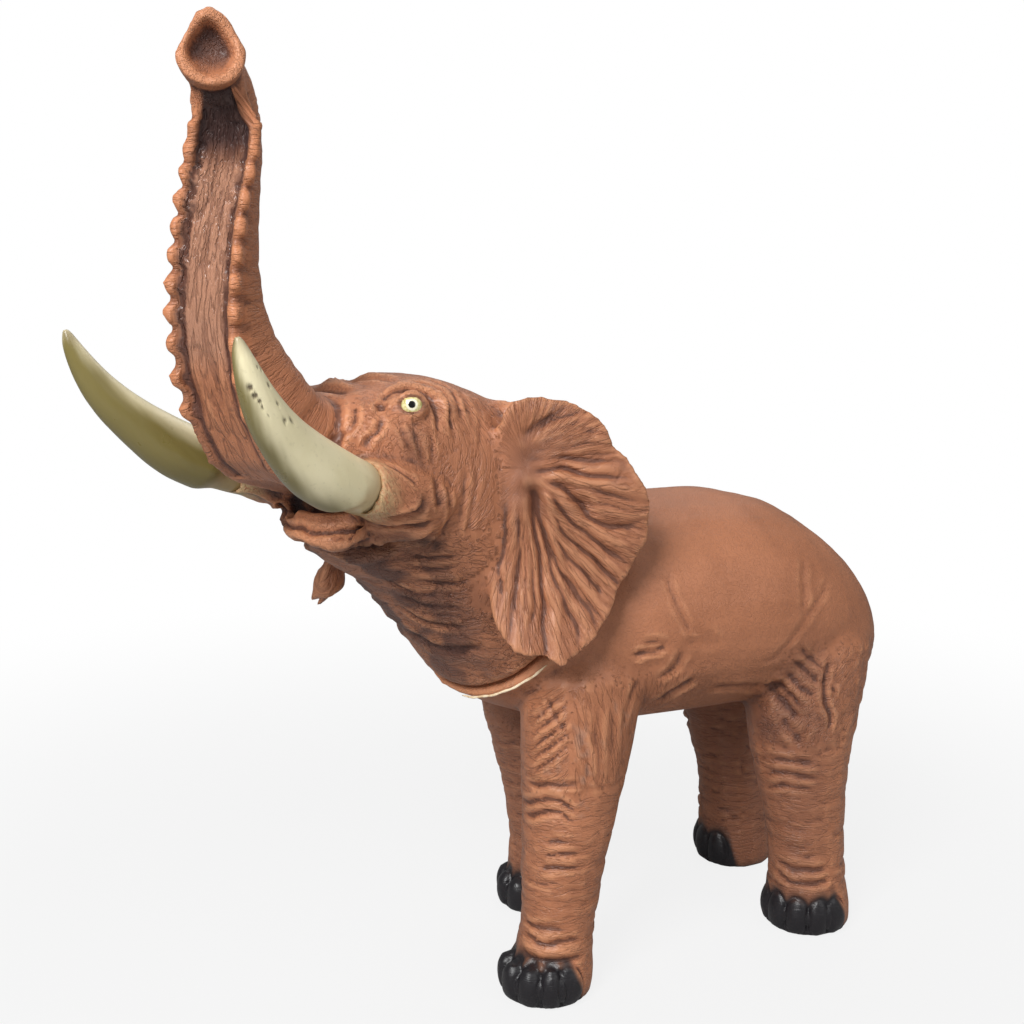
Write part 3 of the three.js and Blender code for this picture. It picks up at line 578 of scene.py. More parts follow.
def fine_head(p):
    """The face's sides, the ears' fronts, and the trunk's beads, strip and tip."""
    face = (abs(p[:, 0]) > 20) & (p[:, 1] < -12) & (p[:, 1] > -60) & (p[:, 2] < 227) & (p[:, 2] > 176)
    fans = np.zeros(len(p), bool)
    for side in sides:
        out, up, off = ear_shares(p.copy(), side)
        fans |= (off > 0.4) & (off < 6) & (out > 0.05) & (abs(up) < 0.55) & (p[:, 0] * side > 20)
    side, back, _ = trunk_shares(p)
    beaded = (abs(side) > 0.45) & (abs(side) < 1.5) & (back < -0.2)
    strip = (abs(side) < 0.7) & (back < -0.4) & (p[:, 2] > 255)
    return face | fans | beaded | strip | (p[:, 2] > 300)


finer(head, head_place, fine_head)
finer(body, body_place, lambda p: (p[:, 2] < 18) & (p[:, 2] > 1))

# %% [markdown]
# ## Smooth random waves
# Nothing hand-made is quite even. These waves roll smoothly between about -1 and 1, with hills of
# a given size, and are the same on each run for the same seed.

# %% Waves
def waves(points, size, seed):
    """Smooth random waves from about -1 to 1, of about the given size, at each point."""
    table = np.random.default_rng(seed).uniform(-1.5, 1.5, (32, 32, 32))
    spots = points / size
    base = np.floor(spots).astype(int)
    share = spots - base
    share = share * share * (3 - 2 * share)
    total = np.zeros(len(points))
    for corner in np.ndindex(2, 2, 2):
        weight = np.prod(np.where(corner, share, 1 - share), axis=1)
        i, j, k = ((base + corner) % 32).T
        total += weight * table[i, j, k]
    return total


def reach(points, spot):
    """How far points lie from a spot."""
    return np.linalg.norm(points - spot, axis=1)


def path_reach(points, path):
    """How far points lie from the nearest stop of a path."""
    return np.min(np.linalg.norm(points[:, None] - path[None], axis=2), axis=1)


# %% [markdown]
# ## Carving tools
# The skin's points are carved with numpy, which moves a hundred thousand of them at once. They are
# read into the casting's own frame, in millimetres, and written back to the scene's.

# %% Points
class Points:
    """The points of a piece, in millimetres of its casting's own frame."""

    def __init__(self, piece, place):
        self.mesh, self.name = piece.data, piece.name
        self.turn, self.origin = np.array(place.to_3x3()), np.array(place.translation)
        self.count = len(self.mesh.vertices)
        self.points = ((self.read("co") - self.origin) / mm) @ self.turn
        edges = np.empty(2 * len(self.mesh.edges), int)
        self.mesh.edges.foreach_get("vertices", edges)
        self.edges = edges.reshape(-1, 2)
        self.degree = np.bincount(edges, minlength=self.count)

    def read(self, key):
        flat = np.empty(3 * self.count)
        self.mesh.vertices.foreach_get(key, flat)
        return flat.reshape(-1, 3)

    def write(self):
        self.mesh.vertices.foreach_set("co", (self.points @ self.turn.T * mm + self.origin).ravel())
        self.mesh.update()

    def normals(self):
        self.write()
        return self.read("normal") @ self.turn

    def mean(self, values):
        """Each point's neighbours' mean of some values."""
        a, b = self.edges.T
        total = np.bincount(a, values[b], self.count) + np.bincount(b, values[a], self.count)
        return total / self.degree

    def mean3(self, values):
        return np.stack([self.mean(values[:, k]) for k in range(3)], axis=1)

    def relax(self, times, share=0.5, mask=1.0):
        """Evens the skin out where the mask is high."""
        for _ in range(times):
            self.points += (self.mean3(self.points) - self.points) * np.reshape(share * mask, (-1, 1))


# %% [markdown]
# A crease presses a valley along a path and pushes its clay up beside it. Wrinkles are valleys
# where a smooth random wave crosses zero, and stretched waves give wrinkles that run one way.

# %% Carving
class Carving(Points):
    """Points that can be pushed along smoothed normals, by creases and by wrinkles."""

    def aim(self, ways=None, mask=0):
        """Sets the way that carving moves each point: outwards, or a given way in a mask."""
        self.ways = self.normals()
        for _ in range(3):
            self.ways = self.mean3(self.ways)
        if ways is not None:
            self.ways = self.ways * (1 - mask[:, None]) + ways * mask[:, None]
        self.ways /= np.maximum(np.linalg.norm(self.ways, axis=1), 1e-6)[:, None]

    def push(self, amount):
        self.points += self.ways * amount[:, None]

    def crease(self, path, depth, width, lip=0.45, lean=0.0):
        """Presses a valley along a path, with raised sides, the higher one on the leaning side."""
        path = smooth_path(path, 1.2)
        reach = 3.4 * width
        low, high = path.min(axis=0) - reach - 4, path.max(axis=0) + reach + 4
        near = np.flatnonzero(((self.points > low) & (self.points < high)).all(axis=1))
        if not len(near):
            return
        spots, ways = self.points[near] + self.wobble[near], self.ways[near]
        gaps = spots[:, None] - path[None, :-1]
        runs = path[1:] - path[:-1]
        share = np.clip((gaps * runs).sum(2) / (runs ** 2).sum(1), 0, 1)
        gaps -= share[..., None] * runs
        lift = (gaps * ways[:, None]).sum(2)
        flat = (gaps ** 2).sum(2) - lift ** 2
        best = np.argmin(np.where(abs(lift) < 8, flat, 1e9), axis=1)
        row = np.arange(len(near))
        off = np.sqrt(np.maximum(0, flat[row, best]))
        off[abs(lift[row, best]) >= 8] = 1e9
        along = (best + share[row, best]) / len(runs)
        turned = np.cross(runs[best], ways)
        side = np.sign((turned * gaps[row, best]).sum(1))
        taper = step(np.minimum(along, 1 - along), -0.03, 0.22)
        valley = np.exp(-(off / width) ** 2)
        rise = np.exp(-((off - 1.9 * width) / width) ** 2)
        move = depth * taper * (lip * (1 + lean * side) * rise - valley)
        self.points[near] += ways * move[:, None]

    def wrinkles(self, spots, size, depth, mask, seed, sharp=0.2):
        """Presses valleys where random waves over the given spots cross zero."""
        wave = waves(spots, size, seed) + 0.45 * waves(spots, size / 2.1, seed + 1)
        fresh = step(waves(self.points, 9.0, seed + 2), -1.0, 0.6)
        self.push(mask * depth * (0.55 * np.minimum(1, abs(wave)) - np.exp(-(wave / sharp) ** 2)
                                  * (0.4 + 0.6 * fresh)))


# %% [markdown]
# A skin also keeps numbers on its points for its paint: masks from 0 to 1, how deep each point
# lies, and the stretched places that fine lines are drawn at. The lines stop short of the borders
# between two ways to run.

# %% Skin
class Skin(Carving):
    """Points that keep what the paint needs to know."""

    def store(self, name, values):
        """Keeps one number a point, for the material to read."""
        layer = self.mesh.attributes.new(name, "FLOAT", "POINT")
        layer.data.foreach_set("value", np.clip(values, 0, 1).astype(np.float32))

    def store_flow(self, zones, fine):
        """Keeps the places that fine wrinkles are drawn at, and how strong they are."""
        flow, zone = self.points * 1.0, np.zeros(self.count)
        border = 0.5 + 0.3 * waves(self.points, 2.5, 301)
        for number, (share, lines) in enumerate(zones, 1):
            flow[share > border] = lines[share > border]
            zone[share > border] = number
        fine = fine * (abs(self.mean(zone) - zone) < 1e-6)
        layer = self.mesh.attributes.new("flow", "FLOAT_VECTOR", "POINT")
        layer.data.foreach_set("vector", flow.astype(np.float32).ravel())
        self.store("fine", fine)

    def hollows(self, spread=0.28, times=12):
        """How far each point lies below the skin with its details smoothed off, in millimetres."""
        normals = self.normals()
        a, b = self.edges.T
        long = ((self.points[a] - self.points[b]) ** 2).sum(1)
        long = (np.bincount(a, long, self.count) + np.bincount(b, long, self.count)) / self.degree
        share = np.clip(spread / long, 0, 0.9)[:, None]
        smooth = self.points.copy()
        for _ in range(times):
            smooth += (self.mean3(smooth) - smooth) * share
        return ((smooth - self.points) * normals).sum(1)


head_skin, body_skin = Skin(head, head_place), Skin(body, body_place)
print("head of", head_skin.count, "points, body of", body_skin.count)

# %% [markdown]
# ## Carving the head
# The paths were read from the picture, where the raised brow, the folds round the eye, the deep
# line behind the tusk's sleeve and the fan of the ear show clearly. The right side of the head is
# hidden there, so it gets the same creases, mirrored. The ear's folds fan out from its root, each
# a broad valley with a sharp line at its bottom.

# %% Folds of the ears
ear_folds = [
    # depth, width at the root and at the rim, path of shares out and up
    (1.3, 1.6, 2.6, [(.20, .36), (.27, .40), (.35, .43), (.43, .46), (.51, .47)]),
    (1.2, 1.3, 2.0, [(.22, .35), (.32, .40), (.43, .43), (.56, .44), (.63, .42)]),
    (0.9, 1.2, 1.8, [(.24, .34), (.33, .37), (.46, .40), (.59, .41), (.69, .38)]),
    (1.0, 1.3, 2.0, [(.25, .33), (.36, .35), (.49, .36), (.60, .37), (.72, .34)]),
    (0.9, 1.4, 1.8, [(.24, .31), (.35, .32), (.46, .33), (.59, .33), (.74, .31)]),
    (2.0, 3.2, 2.4, [(.23, .28), (.33, .285), (.42, .285), (.56, .275), (.78, .26)]),
    (2.2, 1.7, 2.0, [(.25, .24), (.36, .25), (.48, .24), (.63, .22), (.78, .21)]),
    (0.9, 1.2, 1.8, [(.33, .22), (.46, .19), (.58, .18), (.69, .15), (.81, .13), (.93, .12)]),
    (2.2, 1.8, 2.2, [(.29, .22), (.39, .19), (.51, .13), (.61, .06), (.73, .04), (.92, .02)]),
    (1.9, 1.5, 2.2, [(.27, .21), (.36, .15), (.46, .07), (.59, .00), (.73, -.06), (.86, -.12)]),
    (1.9, 1.5, 2.2, [(.27, .19), (.35, .10), (.45, .01), (.58, -.06), (.69, -.13), (.78, -.19)]),
    (1.5, 1.4, 2.0, [(.26, .18), (.34, .07), (.41, -.02), (.52, -.11), (.62, -.18), (.71, -.25)]),
    (2.1, 1.7, 2.6, [(.26, .17), (.32, .03), (.39, -.09), (.47, -.18), (.55, -.25), (.60, -.33)]),
    (2.0, 1.6, 2.4, [(.26, .16), (.31, .02), (.36, -.12), (.41, -.22), (.45, -.30), (.46, -.39)]),
    (3.6, 2.6, 2.2, [(.24, .17), (.26, .05), (.285, -.07), (.29, -.19), (.27, -.31), (.245, -.40)]),
    (1.2, 1.3, 1.8, [(.22, .11), (.23, -.01), (.24, -.12), (.23, -.22), (.18, -.31), (.13, -.37)]),
    (1.5, 1.4, 2.0, [(.17, .11), (.17, -.02), (.15, -.13), (.11, -.24), (.07, -.32)]),
    (1.1, 1.3, 1.8, [(.10, .12), (.08, .00), (.06, -.10), (.05, -.19), (.03, -.26)]),
    (1.0, 1.2, 1.5, [(.20, .06), (.20, -.06), (.19, -.18), (.15, -.28)]),
]


def fan_relief(out, up):
    """How deep the ear's folds lie at shares out and up, measured flat on the fan."""
    flat = np.stack([out * ear_wide, up * ear_tall], axis=1)
    flat += 0.5 * np.stack([waves(points, 6.0, 15), waves(points, 6.0, 16)], axis=1)
    relief = np.zeros(len(flat))
    for depth, narrow, wide, path in ear_folds:
        path = smooth_path(np.array(path) * (ear_wide, ear_tall), 2.0)
        runs = path[1:] - path[:-1]
        gap = flat[:, None] - path[None, :-1]
        share = np.clip((gap * runs).sum(2) / (runs ** 2).sum(1), 0, 1)
        off = ((gap - share[..., None] * runs) ** 2).sum(2)
        best = np.argmin(off, axis=1)
        row = np.arange(len(flat))
        along = (best + share[row, best]) / len(runs)
        off = np.sqrt(off[row, best])
        width = narrow + (wide - narrow) * along
        taper = step(along, -0.08, 0.12) * (1 - 0.7 * step(along, 0.65, 1.0))
        relief += depth * taper * (0.3 * np.exp(-((off - 2.2 * width) / width) ** 2)
                                   - 0.35 * np.exp(-(off / width) ** 2)
                                   - 0.55 * np.exp(-(off / (0.42 * width)) ** 2))
    return relief


print(len(ear_folds), "folds on each ear")

# %% [markdown]
# ### Evening out the clay
# The melted lumps still show as steps, so the skin is evened out before it is carved, most on the
# ears and along the lip. Under the sleeves it also rises, to open the mouth.

# %% Even clay
head_skin.relax(3)
points = head_skin.points
ear_ways, in_ear = np.zeros_like(points), np.zeros(head_skin.count)
ear_out, ear_up = np.zeros(head_skin.count), np.zeros(head_skin.count)
for side in sides:
    out, up, off = ear_shares(points.copy(), side)
    front_edge = out + 0.14 * step(-up, 0.04, 0.14)
    mask = step(-abs(off), -9, -5.5) * step(front_edge, 0.0, 0.12) * step(-up, -0.6, -0.55)
    mask[points[:, 0] * side < 20] = 0
    ear_ways += mask[:, None] * ear_axes(side)[1]
    in_ear = np.maximum(in_ear, mask)
    ear_out[mask > 0], ear_up[mask > 0] = out[mask > 0], up[mask > 0]
head_skin.relax(5, 0.5, in_ear)
whole_lip = smooth_path(jaw_line + [(-px, py, pz) for px, py, pz in jaw_line[-2::-1]], 2.5)
lip_gap = path_reach(points, whole_lip)
under = step(abs(points[:, 0]), 20, 25) * step(-points[:, 2], -189, -184) * step(points[:, 2], 174, 180)
under *= step(-points[:, 1], 37, 43)
points[:, 2] += 3.5 * under
head_skin.relax(8, 0.5, np.maximum(step(-lip_gap, -5.5, -3.5), under))
print(int((in_ear > 0.5).sum()), "points on the ears")

# %% [markdown]
# The crown's height is known along rows that run the camera's way, from its outline in the picture.
# What stands higher is pressed down to it, and the far corner of the mouth is drawn in.

# %% Crown and far corner
px, py, pz = points.T
crown_row = py + 0.9 * px
crown_top = np.interp(crown_row, [-62, -52, -45, -39.3, -32.4, -27.4, -18.8],
                      [225.5, 223.9, 223.9, 226.7, 223.2, 225.5, 227.4])
crown_start, crown_full = np.where(px < -14, -66, -52), np.where(px < -14, -61, -47)
too_high = np.clip(pz - crown_top - 0.105 * px, 0, 8) * step(crown_row, crown_start, crown_full)
too_high *= step(-crown_row, 17, 20) * (px > -40)
points[:, 2] -= too_high
head_skin.relax(5, 0.5, step(too_high, 0.0, 1.0))
corner_far = reach(points, (-30, -39, 180.5))
points += step(-corner_far, -10, -4)[:, None] * (1.2, 2.4, 2.4)
head_skin.relax(20, 0.5, step(-corner_far, -10, -6))
head_skin.relax(12, 0.5, step(-reach(points, (-47, -5, 143)), -18, -13))
print("crown pressed down by up to", too_high.max().round(2), "mm")

# %% [markdown]
# ### Carving the ears
# The folds are cut straight into the ears' fronts. They fade at the rim, where the skin turns away
# from the way the ear faces, so that the rim stays whole.

# %% Ear carving
head_skin.wobble = np.stack([waves(points, 7.0, k) + 0.4 * waves(points, 3.0, 9 + k)
                             for k in range(3)], axis=1) * 0.55
on_ear = np.flatnonzero(in_ear)
points = head_skin.points[on_ear]
folds = fan_relief(ear_out[on_ear], ear_up[on_ear])
head_skin.aim(ear_ways, in_ear)
faced = abs((head_skin.normals() * ear_ways).sum(1))
near_rim = faced.copy()
for _ in range(6):
    near_rim = head_skin.mean(near_rim)
flat_ear = in_ear * step(near_rim, 0.5, 0.82)
head_skin.points[on_ear] += head_skin.ways[on_ear] * (flat_ear[on_ear] * folds)[:, None]
points = head_skin.points
print("ear folds from", folds.min().round(2), "to", folds.max().round(2), "mm")

# %% [markdown]
# ### Creases of the face
# Each crease is a path with a depth, a width and a lean, which makes one of its two lips higher.
# The first ones run over the brow, the lids and the cheek, then come the sleeve, the lips, the
# throat and the side of the neck.

# %% Table of the face's creases
face_creases = [
    # depth, width, lean, path
    (1.3, 3.0, 0.0, [(14, -36, 226), (6, -35, 227), (0, -34, 227)]),
    (0.9, 1.0, 0.4, [(26, -43, 217), (24, -40, 221.5), (24, -35, 223.5), (26, -29, 223),
                     (30, -25.5, 221), (33, -26, 217), (35, -27, 212), (36, -28, 207)]),
    (1.0, 1.1, 0.4, [(19, -37, 226), (19, -30, 227.5), (22, -22, 226), (28, -18, 223.5), (33, -19, 219),
                     (37, -21, 213), (38, -22, 206)]),
    (0.5, 1.0, 0.0, [(15, -27, 227), (19, -17, 226), (27, -13, 223), (34, -14, 217), (37, -16, 210)]),
    (0.4, 1.0, 0.0, [(29, -8, 223), (34, -10, 217), (37, -12, 210)]),
    (0.4, 1.0, 0.0, [(33, -4, 219), (37, -8, 211), (38, -12, 203)]),
    (0.4, 0.9, 0.0, [(30, -40, 213), (32, -39, 208), (33, -38, 204)]),
    (0.4, 0.9, 0.0, [(33, -35, 212), (34, -35, 207), (35, -35, 202)]),
    (0.4, 0.9, 0.0, [(35, -30, 210), (36, -31, 205), (37, -31, 200)]),
    (1.2, 1.1, 0.0, [(24.5, -43, 222), (25.5, -42.5, 220), (26, -43, 217.5)]),
    (0.7, 1.2, -0.3, [(18, -47, 221), (21, -50, 216), (21, -52, 212), (18, -56, 208)]),
    (0.9, 1.6, 0.0, [(8, -47, 221), (14, -50, 217), (18, -54, 212), (19, -58, 206), (18, -62, 201)]),
    (1.3, 2.4, 0.0, [(-16, -38, 226), (-8, -41, 225), (0, -42, 224), (8, -43, 223), (14, -46, 221)]),
    (1.0, 2.2, 0.0, [(-20, -26, 227), (-10, -29, 227.5), (0, -30, 227.5), (10, -29, 227.5),
                     (17, -27, 227)]),
    (0.8, 1.0, 0.2, [(25, -51, 206), (26, -49, 209), (28, -46, 212), (27, -43, 216)]),
    (2.0, 1.5, 0.3, [(41, -38, 191), (41.5, -41, 188), (40, -45, 185), (36, -51, 183)]),
    (0.7, 1.1, 0.3, [(32, -51, 202), (37, -45, 199), (40, -40, 195)]),
    (1.6, 1.2, 0.0, [(28, -47, 184), (34, -43, 183), (38, -38, 182), (40, -34, 183)]),
    (2.0, 1.0, 0.0, [(-4, -55, 179.2), (4, -55, 178.6), (11, -52.5, 178.4), (19, -48, 179),
                     (27, -42, 180.5)]),
    (3.4, 2.2, 0.0, [(6, -51, 171), (16, -47, 171), (23, -43, 173), (30, -38, 174.5), (36, -32, 176),
                     (39, -28, 178)]),
    (0.9, 1.2, 0.0, [(20, -28, 168), (26, -23, 166), (33, -16, 167)]),
    (1.1, 1.1, 0.0, [(24, -30, 170), (30, -25, 168.5), (36, -18, 169.5)]),
    (0.9, 1.1, 0.0, [(22, -24, 162), (28, -17, 160), (34, -11, 161)]),
    (0.8, 1.1, 0.0, [(14, -30, 160), (18, -22, 157), (25, -15, 156)]),
    (1.0, 1.1, 0.0, [(12, -26, 153), (20, -19, 151), (29, -9, 151)]),
    (1.2, 1.3, 0.0, [(9, -22, 146), (18, -14, 143), (28, -3, 144)]),
    (1.2, 2.2, 0.0, [(0, -12, 136), (10, -9, 133), (20, -3, 133), (28, 6, 138)]),
    (0.35, 1.2, 0.0, [(39, -19, 201), (39, -19, 193), (38, -20, 185), (35, -22, 176)]),
    (0.35, 1.2, 0.0, [(40, -14, 199), (40, -15, 190), (39, -17, 181), (37, -16, 172)]),
    (0.8, 1.6, 0.2, [(39, -30, 197), (41, -32, 191), (40, -31, 186)]),
    (0.5, 1.3, 0.2, [(40, -26, 194), (41, -27, 188), (39, -25, 181)]),
]
print(len(face_creases), "creases on the left of the face")

# %% [markdown]
# The creases that start at a height of 180 to 195, at the sleeve and the corner of the mouth, are
# cut on the left only. Then the clay inside each eye's opening sinks, so that the bead shows.

# %% Creases of the face
head_skin.aim(ear_ways, in_ear)
for side in sides:
    for depth, width, lean, path in face_creases:
        if side > 0 or not 180 < path[0][2] < 195:
            head_skin.crease(mirrored(path, side), depth, width, lean=lean * side)


def eye_shares(side):
    """The head's points from an eye: gap, share of the opening, how far, and if close ahead."""
    gap = (points - eye_place * (side, 1, 1)) * (side, 1, 1)
    far = np.linalg.norm(gap, axis=1)
    oval = np.hypot(gap @ eye_back / eye_long, gap @ eye_up / eye_tall)
    return gap, oval, far, (gap @ eye_look > 0) * (far < 9)


for side in sides:
    gap, oval, far, close = eye_shares(side)
    sink = step(-oval, -1.08, -0.9) * close
    sink *= np.minimum(0, eye_bead - 0.9 - far) / np.maximum(far, 1)
    points += sink[:, None] * gap * (side, 1, 1)
    print("the eye's opening takes", int(((oval < 1) & close).sum()), "points")

# %% [markdown]
# ### Wrinkles of the trunk
# Rings run round the trunk's back and sides, a long one every 12.5 mm and close ones behind the
# tip. The strip between the beads has lengthwise folds, deepest low down, and a groove along each
# side. Each bead then gets its dome.

# %% Wrinkles of the trunk
ring_every = 12.5
x, y, z = points.T
trunk_side, trunk_back, trunk_stop = trunk_shares(points)
in_trunk = step(-np.hypot(trunk_side, trunk_back), -1.9, -1.5) * step(trunk_stop, 14, 30)
below_tip = step(-z, -306, -302)
strip = in_trunk * step(-trunk_back, 0.45, 0.62) * step(-abs(trunk_side), -0.78, -0.6) * below_tip
rings = in_trunk * step(trunk_back, -0.62, -0.4) * step(-z, -310, -306)
groove = in_trunk * below_tip * step(-trunk_back, 0.5, 0.65)
groove *= np.exp(-((abs(trunk_side) - 0.6) / 0.09) ** 2)
head_skin.aim(ear_ways, in_ear)
ringed = (trunk_stop + 1.6 * waves(points, 14.0, 20)) / ring_every
ringed = np.exp(-((ringed - np.round(ringed)) * ring_every / 1.1) ** 2)
head_skin.push(-0.9 * groove - 0.45 * rings * ringed * step(waves(points, 10.0, 23), -1, 0.3))
ringed = np.sin((trunk_stop + 1.2 * waves(points, 8.0, 24)) * 1.25) ** 8
head_skin.push(-0.55 * rings * ringed * step(z, 282, 292))
around = np.stack([trunk_side * 2.4, trunk_back * 2.4, trunk_stop], axis=1)
lengthwise = np.stack([trunk_side * 9, trunk_back * 3, trunk_stop * 0.13], axis=1)
head_skin.wrinkles(around, 5.5, 0.22, rings, 21, 0.16)
head_skin.wrinkles(lengthwise, 3.0, 0.5, strip * step(z, 258, 268) * step(-z, -296, -288), 31, 0.3)
low_strip = strip * step(-z, -240, -226) * step(z, 204, 214)
head_skin.wrinkles(lengthwise * (0.55, 1, 1), 2.6, 0.9, low_strip, 35, 0.4)
for centre, way, along in beads:
    gap = points - centre
    over = gap @ way
    far = np.hypot(gap @ along / 3.3, gap @ np.cross(along, way) / 3.0)
    dome = np.sqrt(np.clip(1 - far ** 2, 0, 1)) * (over > -2.5) * (over < 6)
    head_skin.points += (0.9 * dome)[:, None] * way
bead_gap = np.min([abs((points - centre) @ along) + 9 * (reach(points, centre) > 7)
                   for centre, way, along in beads], axis=0)
print(len(beads), "beads domed")

# %% [markdown]
# The tip opens in a heart-shaped hollow. It is dug along the trunk's way, deepest under the finger
# and shallow towards the thick lower lip, where the photo shows a lit slope. The rim is trimmed to
# an oval first, and the trunk is pinched in behind it.

# %% The tip's hollow
tip_gap = points - tip_centre
tip_a, tip_b, tip_w = (tip_gap @ way for way in (tip_across, tip_back, tip_way))
edge = np.hypot(tip_a / 9.4, np.minimum(0, tip_b) / 9.2)
trim = step(tip_w, -8, -5) * (tip_b < 0) * (1 - 1 / np.maximum(1, edge)) * (np.hypot(tip_a, tip_b) < 20)
head_skin.points -= (trim * tip_a)[:, None] * tip_across + (trim * tip_b)[:, None] * tip_back
tip_a, tip_b = tip_a * (1 - trim), tip_b * (1 - trim)
heart = np.hypot(tip_a / (6.5 - 0.33 * np.maximum(0, tip_b)), (tip_b - 1.5) / 6.9)
inside = step(-heart, -1.12, -0.78) * (tip_w > -5) * (tip_w < 6)
bowl = -0.6 - 3.6 * np.sqrt(np.clip(1 - heart ** 2, 0, 1)) * step(tip_b, -8.5, 1.5)
head_skin.points += (np.minimum(0, bowl - tip_w) * inside)[:, None] * tip_way
slim = np.exp(-((tip_w + 8.5) / 3.2) ** 2) * (abs(tip_a) < 16) * (abs(tip_b) < 16)
head_skin.points -= (0.17 * slim * tip_a)[:, None] * tip_across
head_skin.relax(3, 0.5, step(tip_w, -6, -3) * (z > 300))
print(int((inside > 0.5).sum()), "points in the tip's hollow")

# %% [markdown]
# ### Wrinkles of the rest
# The ears have fine ribs that fan out from a hub, and the cheeks, crown and throat have a net of
# short folds. The waves are stretched along the way that each set of folds runs. Last, the hub,
# the rims and the far ear's lobe are evened out.

# %% Wrinkles of the head
hub_up = 0.16 + 0.14 * step(ear_up, 0.1, 0.35)
fan_far = np.hypot((ear_out - 0.2) * ear_wide, (ear_up - hub_up) * ear_tall)
fan_turn = np.arctan2((ear_up - hub_up) * ear_tall, (ear_out - 0.2) * ear_wide)
ribs = np.stack([fan_turn * 17, fan_far * 0.11, 0.1 * x], axis=1)
head_skin.wrinkles(ribs, 1.7, 0.45, flat_ear * step(fan_far, 5, 16), 41, 0.3)

plain = (1 - in_ear) * (1 - in_trunk)
cheek = plain * step(abs(x), 20, 30) * step(-z, -226, -215) * step(z, 172, 180)
throat = plain * step(-z, -182, -172) * step(-y, -22, -8) * step(lip_gap, 3.5, 6)
crown = plain * step(z, 205, 216)
arcs = np.stack([np.hypot(y + 36, z - 205), np.arctan2(y + 36, 205 - z) * 5, 0.3 * abs(x)], axis=1)
head_skin.wrinkles(arcs, 2.6, 0.16, cheek, 51, 0.24)
head_skin.wrinkles(points * (0.35, 1, 1) + head_skin.wobble * 2, 5.0, 0.25, crown, 61, 0.16)
slant = np.where(x < 0, 0.9, 0.1) * x
level = np.stack([0.25 * x, 0.45 * y, z + slant], axis=1) + head_skin.wobble * 2
head_skin.wrinkles(level, 4.4, 0.45, throat, 71, 0.2)
head_skin.relax(1, 0.3)
head_skin.relax(4, 0.5, in_ear * step(-fan_far, -14, -4))
head_skin.relax(8, 0.5, in_ear * step(-near_rim, -0.8, -0.55) * step(ear_out, 0.1, 0.2))
head_skin.relax(12, 0.5, step(-reach(points, (-47, -7, 142)), -16, -12))
print("fine folds on", int((np.max([cheek, throat, crown], axis=0) > 0.5).sum()), "points of the head")

# %% [markdown]
# ### The neck's end
# The head plugs into the body with an open seam, dark at the throat. The head's end draws in a
# little before it meets the body, and the body's collar swells round it.

# %% Seam of the head
def seam(skin, draw_in, length, sign):
    """How a casting's end moves in towards the neck's axis, or out, close to the seam."""
    turn = skin.turn
    centre = (np.array(neck) - skin.origin) / mm @ turn
    way = np.array(neck_way) @ turn
    off = skin.points - centre
    ahead = off @ way
    out = off - ahead[:, None] * way
    far = np.linalg.norm(out, axis=1)
    near = step(far, 30, 36) * step(-far, -52, -44) * (sign * ahead > -1.5)
    out /= np.maximum(far, 1)[:, None]
    return out, np.exp(-(ahead / length) ** 2) * near * draw_in


out, amount = seam(head_skin, -2.4, 2.6, 1)
head_skin.points += out * amount[:, None]
print("the head's end draws in by up to", -amount.min().round(2), "mm")

# %% [markdown]
# ### The head's paint masks
# Each point keeps numbers that the vinyl's material reads: how deep it lies, and how much painted
# shade, painted deep shade, gloss with painted sheen, painted highlight, stray spray and nail paint it
# has. Fine lines too small to carve are drawn by the material along `flow`, a place stretched the way
# that the folds run, as bumps with painted shade along them.

# %% Painted shade of the head
hollow = head_skin.hollows()
head_skin.store("pit", 0.5 + hollow * 0.9)
mouth = (z > 179) * (z < 196) * (abs(x) < 30)
mouth = mouth * step(-y, 30, 40) * step(y, -66, -58) * step(lip_gap, 4.2, 6)
throat_mask = step(-abs(x), -44, -20) * step(-z, -178, -168) * step(-y, -10, 4)
throat_mask *= 0.2 + 0.8 * step(waves(points, 8.0, 201), -0.25, 0.35)
under_tip = in_trunk * step(-trunk_back, 0.3, 0.5) * step(-abs(trunk_side), -0.85, -0.62)
under_tip *= step(z, 286, 297) * step(-tip_w, 3.0, 5.0)
pinch = in_trunk * below_tip * step(-trunk_back, 0.2, 0.5) * step(abs(trunk_side), 0.55, 0.75)
pinch *= step(bead_gap, 2.3, 3.3)
# Painted shade under the jaw, behind the tip, in the trunk's side grooves and between the beads, and a
# little over the ears.
painted_shade = np.max([throat_mask, 0.95 * under_tip, 0.16 * in_ear, 0.8 * groove, 0.5 * pinch], axis=0)
# Spots of painted shade below and in front of each eye, behind the sleeve, under the lip and under the
# jaw.
soft_darks = [
    # place, radius, strength
    ((33, -37, 209), 4.0, 0.55), ((34, -36, 203), 3.5, 0.4), ((41, -40, 189), 3.2, 0.7),
    ((40, -31, 190), 4.0, 0.4), ((31, -39, 175.5), 5.5, 1.0), ((20, -45, 172.5), 5.0, 1.0),
    ((25.5, -43, 220), 2.2, 0.6), ((24, -30, 172), 8.0, 0.6), ((38, -24, 166), 6.0, 0.6),
]
for place, radius, share in soft_darks:
    for side in sides:
        gap = reach(points, np.array(place) * (side, 1, 1))
        painted_shade = np.maximum(painted_shade, share * np.exp(-(gap / radius) ** 2))
# Painted shade round each eye's opening.
for side in sides:
    _, oval, _, close = eye_shares(side)
    painted_shade = np.maximum(painted_shade, np.exp(-((oval - 1.05) / 0.2) ** 2) * close)
# Painted shade at the hub of each ear.
painted_shade = np.maximum(painted_shade, 0.5 * in_ear * np.exp(-(fan_far / 7) ** 2))
head_skin.store("painted_shade", painted_shade)
print("dark wash on", int((painted_shade > 0.3).sum()), "points of the head")
